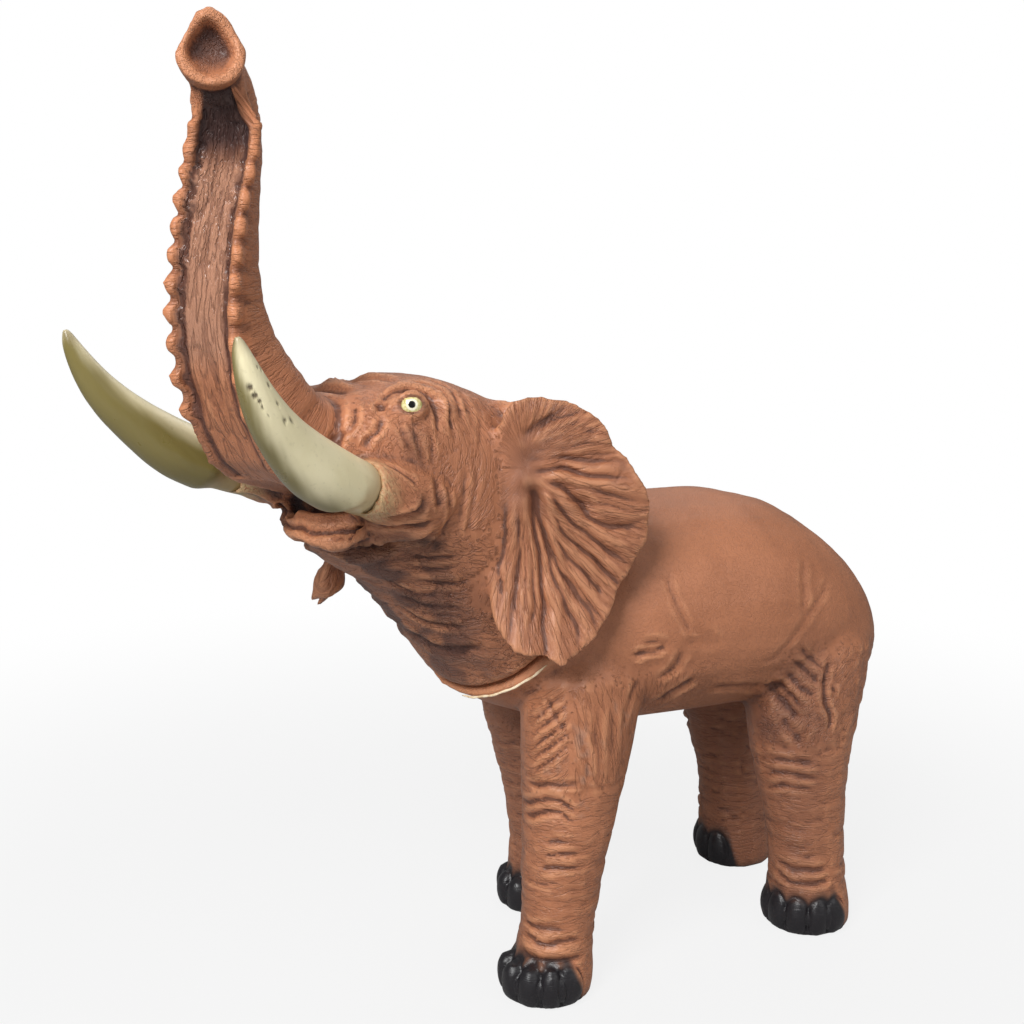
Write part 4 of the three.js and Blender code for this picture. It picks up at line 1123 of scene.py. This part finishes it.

# %% [markdown]
# The mouth, the tip's hollow, the underside behind the tip and the fold under the lip get painted
# deep shade. The beads, the tip's rim and the ears' rims get painted highlights, and the strip a
# painted sheen.

# %% Other masks of the head
# The tip's hollow and the fold under the lip get painted deep shade.
tip_dark = inside * step(-heart, -1.0, -0.5) * step(tip_b, -7.5, -2)
under_lip = np.zeros(head_skin.count)
for side in sides:
    fold = smooth_path(mirrored([(17, -47.5, 176), (22, -45, 177), (27, -42.5, 177), (31, -39, 176.8),
                                 (33, -33, 175.5), (34, -27, 173)], side), 2.0)
    under_lip = np.maximum(under_lip, np.exp(-(path_reach(points, fold) / 3.0) ** 2))
head_skin.store("painted_deep_shade", np.max([mouth * step(hollow, -0.1, 0.3), 0.7 * tip_dark, 0.75 * under_tip,
                                 0.8 * under_lip], axis=0))
# A painted sheen on the strip, which the material also makes glossier.
head_skin.store("gloss_and_painted_sheen", strip * (1 - under_tip) * step(z, 225, 240))
# Painted highlights on the beads, on the tip's front rim and on the ears' rims.
head_skin.store("bead", in_trunk * below_tip * step(-trunk_back, 0.3, 0.5)
                * np.exp(-((abs(trunk_side) - 0.9) / 0.22) ** 2)
                + 0.3 * step(z, 300, 306) * step(tip_w, -7, -4)
                + 0.9 * in_ear * step(-near_rim, -0.66, -0.5) * step(ear_out, 0.1, 0.2))
sleeve_far = np.minimum(*[reach(points, (s * 31, -60, 193)) for s in sides])
head_skin.store("spray", step(-sleeve_far, -17.0, -8.0))
head_skin.store("nail", np.zeros(head_skin.count))
zones = [(cheek, arcs), (throat, level), (in_trunk * (z < 303), around * 0.8), (strip, lengthwise),
         (in_ear, ribs * (1.9, 1, 1))]
calm = 1 - 0.85 * in_ear * step(-fan_far, -12, -3)
head_skin.store_flow(zones, calm * (0.5 + 0.5 * np.max([0.35 * in_ear, throat, strip], axis=0)))
head_skin.write()
print("hollows from", hollow.min().round(2), "to", hollow.max().round(2), "mm")

# %% [markdown]
# ## Carving the body
# The legs have ring folds that get denser at the knee and the ankle, slanting folds run over the
# top of the front legs, and a loose fold hangs where the flank meets the thigh. Both sides get the
# same creases, as the right one is hidden.

# %% Table of the body's creases
body_creases = [
    # depth, width, path
    (0.5, 1.4, [(44, 50, 149), (47, 38, 140), (49, 30, 132), (49, 24, 125), (48, 18, 120),
                (46, 10, 118)]),
    (0.5, 1.6, [(40, 36, 155), (45, 33, 149), (48, 31, 141), (49, 32, 135)]),
    (1.6, 1.0, [(48, 46, 117), (48.5, 44, 110), (48, 43, 104), (48, 44, 98), (48, 46, 92),
                (48, 45, 86)]),
    (0.8, 0.8, [(48, 45, 107), (48, 47, 103), (48, 44, 99)]),
    (1.8, 3.2, [(38, 20, 103), (41, 25, 103), (44, 29, 98), (45, 32, 91)]),
    (0.8, 1.3, [(40, 26, 107), (43, 31, 102), (46, 36, 97)]),
    (0.8, 1.3, [(43, 27, 112), (45, 33, 106), (48, 40, 101)]),
    (0.8, 1.3, [(46, 28, 117), (47, 36, 111), (48, 42, 106)]),
    (0.7, 1.3, [(48, 29, 123), (48, 37, 116), (48, 43, 111)]),
    (0.9, 1.3, [(38, 26, 102), (41, 30, 98), (45, 34, 93)]),
    (1.0, 1.8, [(40, 28, 94), (43, 33, 88), (44, 36, 82)]),
    (0.5, 1.4, [(41, -25, 156), (45, -25, 148), (48, -22, 140), (49, -18, 133)]),
    (0.9, 1.4, [(47, -28, 131), (48, -33, 132), (47, -38, 131)]),
    (1.6, 1.1, [(45, -42, 127), (47, -37, 128), (48, -32, 129), (48, -28, 130)]),
    (0.9, 1.6, [(44, -30, 117), (46, -25, 122), (48, -21, 129)]),
    (0.5, 1.6, [(49, -18, 137), (49, -11, 132), (49, -5, 127)]),
    (0.5, 1.6, [(48, -22, 131), (49, -15, 131), (49, -8, 127)]),
    (1.0, 2.2, [(42, -6, 108), (43, 3, 107), (42, 12, 106), (38, 24, 102)]),
    (1.2, 2.0, [(36, -26, 105), (42, -20, 111), (46, -14, 116)]),
    (0.8, 0.9, [(32, -74, 104), (37, -71, 110), (41, -67, 116)]),
    (0.8, 0.9, [(32, -75, 99), (38, -71, 106), (43, -65, 113)]),
    (0.8, 0.9, [(32, -75, 94), (38, -71, 101), (44, -64, 109)]),
    (0.8, 0.9, [(32, -75, 89.5), (38, -71, 96), (44, -64, 104)]),
    (0.8, 0.9, [(33, -75, 86), (39, -71, 91.5), (44, -64, 99)]),
    (0.6, 1.1, [(45, -63, 104), (46, -60, 97), (46, -59, 91), (46, -59, 84)]),
    (0.6, 1.0, [(36, -70, 115), (39, -69, 109), (43, -67, 103)]),
    (1.2, 1.0, [(28, -75, 81), (38, -72, 82), (43, -67, 84), (46, -60, 84)]),
    (1.3, 1.2, [(27, -75, 72), (37, -73, 76), (42, -68, 77), (46, -62, 73)]),
    (1.2, 1.1, [(28, -75, 68), (38, -72, 72), (42, -68, 73), (46, -63, 69)]),
    (1.0, 1.0, [(38, -72, 62), (43, -68, 63), (46, -62, 62)]),
    (1.0, 1.0, [(38, -72, 57), (43, -68, 58), (46, -62, 58)]),
    (1.0, 1.0, [(37, -73, 52), (43, -68, 53), (46, -62, 52)]),
    (0.9, 1.0, [(30, -75, 47), (38, -72, 46), (43, -68, 47)]),
    (1.3, 1.2, [(28, -80, 31), (35, -79, 29), (42, -74, 30), (46, -65, 29)]),
    (1.2, 1.1, [(29, -81, 26), (35, -80, 25), (42, -75, 24), (46, -66, 25), (47, -58, 24)]),
    (1.4, 1.2, [(30, -83, 20), (35, -82, 19), (42, -76, 18), (46, -67, 18), (47, -57, 18)]),
    (0.6, 1.5, [(43, -38, 118), (45, -42, 109), (46, -45, 100)]),
    (0.6, 1.2, [(46, -55, 111), (46, -56, 101), (47, -55, 91), (46, -54, 80)]),
    (0.6, 1.4, [(46, -49, 110), (47, -50, 99), (46, -49, 91)]),
    (1.0, 1.4, [(32, 27, 66), (38, 30, 70), (43, 34, 70), (46, 43, 68)]),
    (1.0, 1.3, [(32, 27, 61), (38, 30, 64), (43, 34, 64), (46, 43, 63)]),
    (0.8, 1.6, [(32, 26, 74), (40, 31, 75), (47, 42, 76)]),
    (1.2, 1.3, [(31, 34, 24), (38, 37, 22), (44, 43, 22), (47, 52, 23)]),
    (1.2, 1.3, [(31, 34, 29), (38, 37, 28), (44, 43, 28), (47, 52, 28)]),
]
print(len(body_creases), "creases on each side of the body")

# %% [markdown]
# As on the head, the skin is evened out first, and the paths waver a little where they are cut.

# %% Creases of the body
body_skin.relax(3)
points = body_skin.points
x, y, z = points.T
body_skin.wobble = np.stack([waves(points, 8.0, 100 + k) + 0.4 * waves(points, 3.5, 109 + k)
                             for k in range(3)], axis=1) * 0.6
body_skin.aim()
for side in sides:
    for depth, width, path in body_creases:
        body_skin.crease(mirrored(path, side), depth, width)
print(2 * len(body_creases), "creases cut")

# %% [markdown]
# ### Wrinkles of the body
# Random rings run round the legs. Over the tops of the legs they give way to hatching: slanting
# folds and upright strands at the front, slanting folds behind. The trunk of the body is almost
# smooth, with faint broad dents.

# %% Wrinkles of the body
body_skin.aim()
front = step(-y, 10, 25)
leg = step(-z, -92, -78)
rings = np.stack([0.2 * x, 0.2 * y, z], axis=1) + body_skin.wobble * 1.6
body_skin.wrinkles(rings, 4.2, 0.55, leg * step(z, 12, 20), 121, 0.2)
hatch = step(-abs(z - 100), -26, -14) * step(abs(x), 22, 32)
slant_front = np.stack([0.2 * x, 0.1 * (y + z), 0.8 * (z - 0.9 * y)], axis=1) + body_skin.wobble * 0.3
strands = np.stack([0.2 * x, 0.8 * (y + 0.2 * z), 0.14 * z], axis=1) + body_skin.wobble * 0.3
body_skin.wrinkles(slant_front, 3.4, 0.25, hatch * front * step(-y, 64, 67), 131, 0.24)
body_skin.wrinkles(strands, 3.4, 0.3, hatch * front * step(y, -66, -63), 133, 0.24)
slant = np.stack([0.25 * x, 0.3 * (y + z), 0.75 * (z - y)], axis=1) + body_skin.wobble * 1.6
body_skin.wrinkles(slant, 4.6, 0.45, hatch * (1 - front) * step(y, 15, 30), 141, 0.22)
torso = step(z, 92, 112)
body_skin.wrinkles(points * (1, 0.8, 0.4) + body_skin.wobble * 2, 12.0, 0.12, torso, 151, 0.12)
body_skin.push(torso * 0.35 * waves(points, 16.0, 161))
body_skin.relax(1, 0.3)
print("hatching on", int((hatch > 0.5).sum()), "points")

# %% [markdown]
# ### Toenails
# A nail is a tall shallow dome with a groove round it. The black paint was sprayed on: it runs
# over the nails and the gaps between them, and fades out above them.

# %% Toenails
body_skin.aim()
nail = np.zeros(body_skin.count)
for foot_x, foot_y, half_x in feet.values():
    side = 1 if foot_x > 0 else -1
    off_x, off_y = (x - foot_x) * side, y - foot_y
    near = np.hypot(off_x, off_y) < 26
    turn = np.degrees(np.arctan2(off_x, -off_y))
    paint_top = np.full(body_skin.count, 4.0)
    for middle in nail_turns:
        over = np.radians((turn - middle + 180) % 360 - 180) * half_x
        far = np.hypot(over / 4.7, (z - 7.4) / 7.6)
        dome = np.sqrt(np.clip(1 - far ** 2, 0, 1))
        groove = np.exp(-((far - 1.1) / 0.12) ** 2)
        body_skin.push(near * (0.9 * dome - 0.6 * groove) * step(z, 0.3, 1.5))
        paint_top = np.maximum(paint_top, 17.5 - 0.1 * over ** 2)
    covered = step(turn, -66, -46) * step(-turn, -124, -94)
    paint_top = 2.0 + (paint_top - 1.0 + 1.6 * body_skin.wobble[:, 0]) * covered
    nail = np.maximum(nail, near * step(paint_top - z, -3.5, 4.5))
body_skin.relax(1, 0.2, nail)
print(len(feet) * len(nail_turns), "toenails domed")

# %% [markdown]
# ### The body's collar and paint masks
# The collar swells at the seam, and the soles are flat. The insides of the legs, the fronts of the rear
# legs, the loose fold and the thigh get painted shade, and a painted glint, with lower roughness, runs
# down the flash line on the front leg and in specks over the tops of the front legs.

# %% Masks of the body
out, amount = seam(body_skin, 0.9, 3.2, -1)
body_skin.points += out * amount[:, None]
body_skin.points[:, 2] = np.maximum(body_skin.points[:, 2], 0)
hollow = body_skin.hollows()
body_skin.store("pit", 0.5 + hollow * 0.9)
flash_line = smooth_path([(45, -62, 101), (46, -60, 93), (46, -60, 84), (47, -61, 74),
                          (47, -61, 66)], 1.0)
flash_gap = path_reach(points, flash_line)
# A painted glint along the flash line and in specks over the hatching, which the material also makes
# glossier.
glint = step(-flash_gap, -3.2, -0.6) + 0.6 * hatch * front * step(waves(points, 3.0, 401), 0.5, 0.9)
body_skin.store("gloss_and_painted_sheen", np.clip(glint, 0, 1) * step(waves(points, 1.6, 402), 0.0, 0.5))
# Painted shade inside the legs, on the fronts of the rear legs, in the loose fold and on the thighs.
inner = 0.45 * step(-abs(x), -38, -24) * step(-z, -110, -80)
shaded = 0.45 * step(y, 22, 30) * step(-y, -54, -40) * step(-z, -112, -92)
fold = 0.7 * np.exp(-(reach(points * (0, 1, 1), (0, 31, 92)) / 9) ** 2)
thigh_shade_spots = [((45, 35, 110), 13, 0.6), ((42, 30, 96), 11, 0.8), ((34, 28, 88), 12, 0.85),
          ((36, 30, 76), 11, 0.5)]
thigh = [share * np.exp(-(reach(points * (s, 1, 1), place) / radius) ** 2)
         for place, radius, share in thigh_shade_spots for s in sides]
body_skin.store("painted_shade", np.max([inner, shaded, fold] + thigh, axis=0))
body_skin.store("nail", nail)
body_skin.store_flow([(leg, np.stack([0.16 * x, 0.16 * y, 0.8 * z], axis=1) + body_skin.wobble * 0.5),
                      (hatch * (1 - front) * step(y, 15, 30), slant),
                      (hatch * front * (y < -65), slant_front), (hatch * front * (y > -65), strands)],
                     0.22 + np.maximum(0.26 * leg, 0.42 * hatch))
for name in ("painted_deep_shade", "spray", "bead"):
    body_skin.store(name, np.zeros(body_skin.count))
body_skin.write()
for piece, node, rides in ((body, "body_shell", "body"), (head, "head_shell", "head")):
    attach(piece, rides)
    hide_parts(node)
print("dark wash on", int(sum(share > 0.3 for share in thigh).sum()), "points of the thighs")

# %% [markdown]
# ## Brown vinyl
# Soft vinyl takes its colour all through, so the skin is one warm brown with faint blotches. The
# hollows and fine lines are painted darker, mostly as painted shade and partly as the thin dark wash
# that the toy has in its folds, and ridges, beads and rims get painted highlights. The toes are sprayed
# black and some ivory spray from the tusks strayed on to their sleeves. A fine leather grain covers it
# all: pebbles everywhere, and thin lines and hairs along the flow of the folds.

# %% Vinyl patterns
vinyl = Paint("brown_vinyl")
pit = vinyl.attribute("pit")
nail_share = vinyl.attribute("nail")
gloss_and_painted_sheen = vinyl.attribute("gloss_and_painted_sheen")
fine = vinyl.attribute("fine")
blotch = vinyl.noise(38, 4, 0.6)
speck = vinyl.noise(900, 3, 0.6)
flow = vinyl.node("ShaderNodeAttribute", {"attribute_name": "flow"}, out=1)


def cracks(scale, width):
    """Thin lines where noise along the flow crosses its middle: 0 on a line and 1 off it."""
    wave = vinyl.node("ShaderNodeTexNoise", {}, Vector=flow, Scale=scale, Detail=2.0, Roughness=0.6)
    gap = vinyl.node("ShaderNodeMath", {"operation": "ABSOLUTE"}, wave - 0.5)
    return vinyl.between(gap, 0.0, width)


line, hair = cracks(0.5, 0.055), cracks(1.3, 0.08)
print("vinyl patterns:", len(vinyl.tree.nodes), "nodes")

# %% [markdown]
# The colours are laid on in this order: brown, blotches and specks, painted highlights on the ridges
# and beads, a painted sheen on the strip, painted shade, painted shade in the fine lines and in the
# hollows, stray ivory, and painted deep shade and black last.

# %% Vinyl colour
pebble = vinyl.noise(1400.0)
# Painted shade in the hollows, with a little of the toy's own dark wash in its folds.
hollow_shade_and_wash = vinyl.between(pit + vinyl.attribute("painted_shade") * 0.06, 0.53, 0.82)
raised = vinyl.between(pit, 0.47, 0.25)
colour = vinyl.mix(vinyl.between(blotch, 0.3, 0.7), srgb(166, 106, 73), srgb(180, 117, 82))
colour = vinyl.mix(vinyl.between(speck, 0.4, 0.7) * 0.2, colour, srgb(146, 92, 66))
# Painted highlights on the ridges, then on the beads and rims.
colour = vinyl.mix(raised * 0.6, colour, srgb(208, 144, 104))
colour = vinyl.mix(vinyl.attribute("bead") * 0.5, colour, srgb(196, 122, 80))
# Painted sheen and glints, where the material is also glossier.
colour = vinyl.mix(gloss_and_painted_sheen * 0.5, colour, srgb(178, 140, 120))
# Painted shade where the painted_shade mask says.
colour = vinyl.mix(vinyl.attribute("painted_shade") * 0.78, colour, srgb(72, 46, 42))
# Painted shade in the fine lines, then in the hollows.
colour = vinyl.mix((1 - line) * fine * 0.4, colour, srgb(92, 52, 38))
colour = vinyl.mix(hollow_shade_and_wash * 0.75, colour, srgb(74, 42, 34))
colour = vinyl.mix(vinyl.attribute("spray") * vinyl.between(speck, 0.3, 0.55) * 0.75, colour,
                   srgb(200, 176, 130))
# Painted deep shade, then the nails' black paint.
colour = vinyl.mix(vinyl.attribute("painted_deep_shade"), colour, srgb(42, 24, 26))
colour = vinyl.mix(nail_share, colour, srgb(26, 23, 27))
rough = 0.44 + vinyl.between(blotch, 0.3, 0.7) * 0.08 - gloss_and_painted_sheen * 0.2 - nail_share * 0.1
height = (line + hair * 0.4) * fine + pebble * 0.12
height = height * (1 - nail_share * 0.8)
vinyl.feed(Base_Color=colour, Roughness=rough, Normal=vinyl.bump(height, 0.8, 0.00045))


def coat(piece, paint):
    """Gives a piece one material."""
    piece.data.materials.clear()
    piece.data.materials.append(paint.material)


for piece in (body, head):
    coat(piece, vinyl)
print("vinyl of", len(vinyl.tree.nodes), "nodes")

# %% [markdown]
# ## The tusks
# A tusk is a hard cast cone, pushed by its peg into the sleeve. A merged copy of its solid is
# rounded with a Subdivision Surface. The tail is made the same way.

# %% Rounded copies
def copied(name, node, levels):
    """A merged copy of a solid, rounded with a Subdivision Surface modifier, as a new piece."""
    clay = merged(node)
    bmesh.ops.recalc_face_normals(clay, faces=clay.faces)
    piece = placed(name, clay)
    rounder = piece.modifiers.new("rounder", "SUBSURF")
    rounder.levels = rounder.render_levels = levels
    applied(piece)
    piece.data.shade_smooth()
    return piece


tusks = {word: copied(f"tusk_{word}_skin", f"tusk_{word}", 3) for word in ("left", "right")}
print("tusks of", len(tusks["left"].data.polygons), "faces")

# %% [markdown]
# The paint is ivory, with an olive wash on the outer and lower side, a brown tip and base, and dark
# air pits where the casting trapped bubbles.

# %% Ivory
ivory = Paint("ivory_plastic")
olive = ivory.attribute("olive")
mottle = ivory.noise(60, 4, 0.6)
fleck = ivory.noise(700, 2, 0.5)
colour = ivory.mix(ivory.between(mottle, 0.35, 0.7) * 0.3, srgb(238, 227, 188), srgb(214, 202, 152))
colour = ivory.mix(olive, colour, srgb(122, 110, 62))
colour = ivory.mix(ivory.attribute("base") * 0.6, colour, srgb(178, 150, 106))
colour = ivory.mix(ivory.attribute("tip") * 0.6, colour, srgb(112, 92, 62))
colour = ivory.mix(ivory.between(fleck, 0.6, 0.7) * 0.08, colour, srgb(110, 98, 66))
colour = ivory.mix(ivory.attribute("hole") * 0.85, colour, srgb(70, 52, 34))
ivory.feed(Base_Color=colour, Roughness=0.27 + ivory.between(mottle, 0.3, 0.7) * 0.12,
           Normal=ivory.bump(fleck * 0.12 + mottle * 0.3, 0.4, 0.0003))
print("ivory of", len(ivory.tree.nodes), "nodes")

# %% [markdown]
# The tusk is thickened ahead of the sleeve, most below, and its pits are pressed in. The pits lie
# where the picture shows them on the left tusk, and the right one mirrors them.

# %% Tusks
tusk_pits = np.array([
    # x, y, z, radius
    (44.3, -102.6, 234.1, 0.6), (44.9, -100.6, 229.8, 0.7), (44.7, -103.0, 224.1, 0.5),
    (45.0, -95.8, 219.9, 0.7), (44.5, -93.0, 219.6, 0.7), (44.2, -106.3, 229.3, 1.0),
    (44.4, -104.9, 227.1, 0.9), (44.6, -103.6, 225.6, 0.6), (44.9, -104.0, 234.7, 0.5),
    (45.1, -98.1, 224.9, 0.5), (44.8, -101.2, 221.6, 0.4), (45.3, -99.4, 232.0, 0.4)])
for word, side in (("left", 1), ("right", -1)):
    sleeve = np.array((side * 30, -58, 193))
    tusk = tusks[word]
    skin = Skin(tusk, head_place)
    normals = skin.normals()
    x, y, z = skin.points.T
    facing = normals @ np.array((side * -0.62, -0.45, -0.64)) + 0.18 * waves(skin.points, 9, 5)
    gaps = np.linalg.norm(skin.points[:, None] - tusk_pits[None, :, :3] * (side, 1, 1), axis=2)
    ahead = (skin.points - sleeve) @ np.array((side * 0.26, -0.73, 0.64))
    upward, downward = normals @ np.array((0.3 * side, 0.3, 0.9)), normals @ np.array((0, -0.25, -0.97))
    stout = step(-ahead, -58, -14) * step(ahead, -1, 6) * step(upward, -0.8, 0.6)
    low = step(-ahead, -42, -18) * step(ahead, 3, 11) * step(downward, -0.3, 0.6)
    skin.points += normals * (1.5 * stout + 2.2 * low)[:, None]
    hole = np.max(step(-gaps, -1.15 * tusk_pits[:, 3], -0.6 * tusk_pits[:, 3]), axis=1)
    skin.points -= normals * (0.5 * hole)[:, None]
    sleeve_gap = reach(skin.points, sleeve)
    skin.store("olive", step(facing, -0.15, 0.7))
    skin.store("tip", step(z + 1.5 * waves(skin.points, 6, 6), 236, 243))
    skin.store("base", step(-sleeve_gap + waves(skin.points, 3, 7), -15, -10))
    skin.store("hole", hole)
    skin.write()
    coat(tusk, ivory)
    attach(tusk, "head")
    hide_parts(f"tusk_{word}")
    print(tusk.name, "has", int((hole > 0.5).sum()), "points in its pits")

# %% [markdown]
# ## The eyes
# An eye is a glossy bead. Its rings follow the way it looks, so each point of a fine sphere keeps
# how far it lies from that way: black pupil, pale yellow iris and a dark edge under the lids.

# %% Eyes
eye_paint = Paint("eye_plastic")
ring = eye_paint.attribute("ring")
spoke = eye_paint.noise(900, 3, 0.6)
iris = eye_paint.mix(eye_paint.between(spoke, 0.35, 0.65), srgb(226, 220, 166), srgb(190, 174, 104))
colour = eye_paint.mix(eye_paint.between(ring, 0.23, 0.27), srgb(10, 9, 9), srgb(238, 234, 206))
colour = eye_paint.mix(eye_paint.between(ring, 0.36, 0.44), colour, iris)
colour = eye_paint.mix(eye_paint.between(ring, 0.62, 0.78), colour, srgb(58, 42, 26))
eye_paint.feed(Base_Color=colour, Roughness=0.12 + spoke * 0.05, Coat_Weight=0.6, Coat_Roughness=0.04,
               Normal=eye_paint.bump(spoke, 0.08, 0.0001))
for word, side in (("left", 1), ("right", -1)):
    clay = bmesh.new()
    flip = np.array((side, 1, 1))
    ball(clay, at(head_place, eye_place * flip), (eye_bead,) * 3, detail=5)
    eye = placed(f"eye_{word}_bead", clay)
    eye.data.shade_smooth()
    skin = Skin(eye, head_place)
    off = skin.points - eye_place * flip
    ahead = off @ (eye_look * flip)
    far = np.linalg.norm(off - ahead[:, None] * eye_look * flip, axis=1)
    skin.store("ring", np.where(ahead > 0, far / eye_bead, 1))
    coat(eye, eye_paint)
    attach(eye, "head")
    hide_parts(f"eye_{word}")
print("eye beads of", len(eye.data.polygons), "faces")

# %% [markdown]
# ## The tail
# The tail is a soft vinyl rod with a dark tuft moulded at its end, in the same vinyl as the skins.
# The photo hides it, so its rings and the strands of the tuft are made up.

# %% Tail
tail = copied("tail_skin", "tail", 2)
skin = Skin(tail, body_place)
skin.wobble = np.zeros_like(skin.points)
skin.aim()
x, y, z = skin.points.T
low_end, high_end = z.min(), z.max()
tuft = step(-z, -(low_end + 0.3 * (high_end - low_end)), -low_end)
skin.wrinkles(np.stack([x * 3, y * 3, z * 0.3], axis=1), 4.0, 0.5, tuft, 201, 0.3)
skin.wrinkles(np.stack([0.3 * x, 0.3 * y, z], axis=1), 4.0, 0.3, 1 - tuft, 211, 0.2)
for name in ("painted_shade", "painted_deep_shade", "gloss_and_painted_sheen", "spray", "bead"):
    skin.store(name, np.zeros(skin.count))
skin.store_flow([(np.ones(skin.count), skin.points * (1, 1, 0.3))], np.full(skin.count, 0.5))
skin.store("pit", 0.5 + skin.hollows() * 0.4)
skin.store("nail", tuft * 0.85)
skin.write()
coat(tail, vinyl)
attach(tail, "body")
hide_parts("tail")
print("tail from", low_end.round(1), "to", high_end.round(1), "mm above the floor")

# %% [markdown]
# ## The filling
# The filling is hidden, and is a lumpy mass of loose white fibre in each casting, just clear of
# the wall.

# %% Filling
fibre = Paint("fibre_fill")
strand = fibre.noise(140.0, 6.0, 0.7, 2.0)
white = fibre.mix(fibre.between(strand, 0.35, 0.7), srgb(205, 202, 194), srgb(240, 238, 232))
fibre.feed(Base_Color=white, Roughness=0.92, Normal=fibre.bump(strand, 0.8, 0.001))
for word, place in (("body", body_place), ("head", head_place)):
    filling = fused(f"{word}_filling_fibre", merged(f"{word}_filling"), 3.0)
    skin = Skin(filling, place)
    skin.relax(2)
    skin.aim()
    skin.push(-0.6 - 0.8 * waves(skin.points, 11.0, 301) - 0.4 * waves(skin.points, 4.5, 302))
    skin.write()
    filling.data.shade_smooth()
    coat(filling, fibre)
    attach(filling, word)
    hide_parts(f"{word}_filling")
    print(filling.name, len(filling.data.polygons), "faces")

# %% [markdown]
# ## The seam's bead
# A thin bead of pale flash stands out of the neck seam on the left side, from the throat up to
# the ear's lowest notch. It is a round bar along the seam, rough and a little uneven.

# %% Seam bead
bead_way = neck_way.cross(Vector((0, 0, 1))).normalized()
bead_side = neck_way.cross(bead_way)
bead_path = []
for degrees in range(96, 151, 2):
    angle = math.radians(degrees)
    far = (40.8 + 0.15 * math.sin(degrees * 0.5)) * mm
    bead_path.append(neck + (bead_way * math.cos(angle) + bead_side * math.sin(angle)) * far
                     - neck_way * 0.6 * mm)
clay = bmesh.new()
last_loop = None
for i, spot in enumerate(bead_path):
    ahead = (bead_path[min(i + 1, len(bead_path) - 1)] - bead_path[max(i - 1, 0)]).normalized()
    turn = ahead.to_track_quat("Z", "Y").to_matrix().to_4x4()
    thick = (0.45 + 0.07 * math.sin(i * 1.9)) * mm * min(1, 0.35 + 0.3 * min(i, len(bead_path) - 1 - i))
    made = bmesh.ops.create_circle(clay, segments=10, radius=thick,
                                   cap_ends=i in (0, len(bead_path) - 1),
                                   matrix=Matrix.Translation(spot) @ turn)["verts"]
    edges = list({e for v in made for e in v.link_edges if e.other_vert(v) in made})
    if last_loop:
        bmesh.ops.bridge_loops(clay, edges=last_loop + edges)
    last_loop = edges
bmesh.ops.recalc_face_normals(clay, faces=clay.faces)
bead = placed("seam_bead", clay)
bead.data.shade_smooth()
flash = Paint("pale_flash")
grain = flash.noise(500, 3, 0.6)
cream = flash.mix(flash.between(grain, 0.4, 0.65), srgb(250, 232, 200), srgb(226, 194, 152))
flash.feed(Base_Color=cream, Roughness=0.5, Normal=flash.bump(grain, 0.4, 0.0002))
coat(bead, flash)
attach(bead, "body")
print("seam bead of", len(bead_path), "rings")
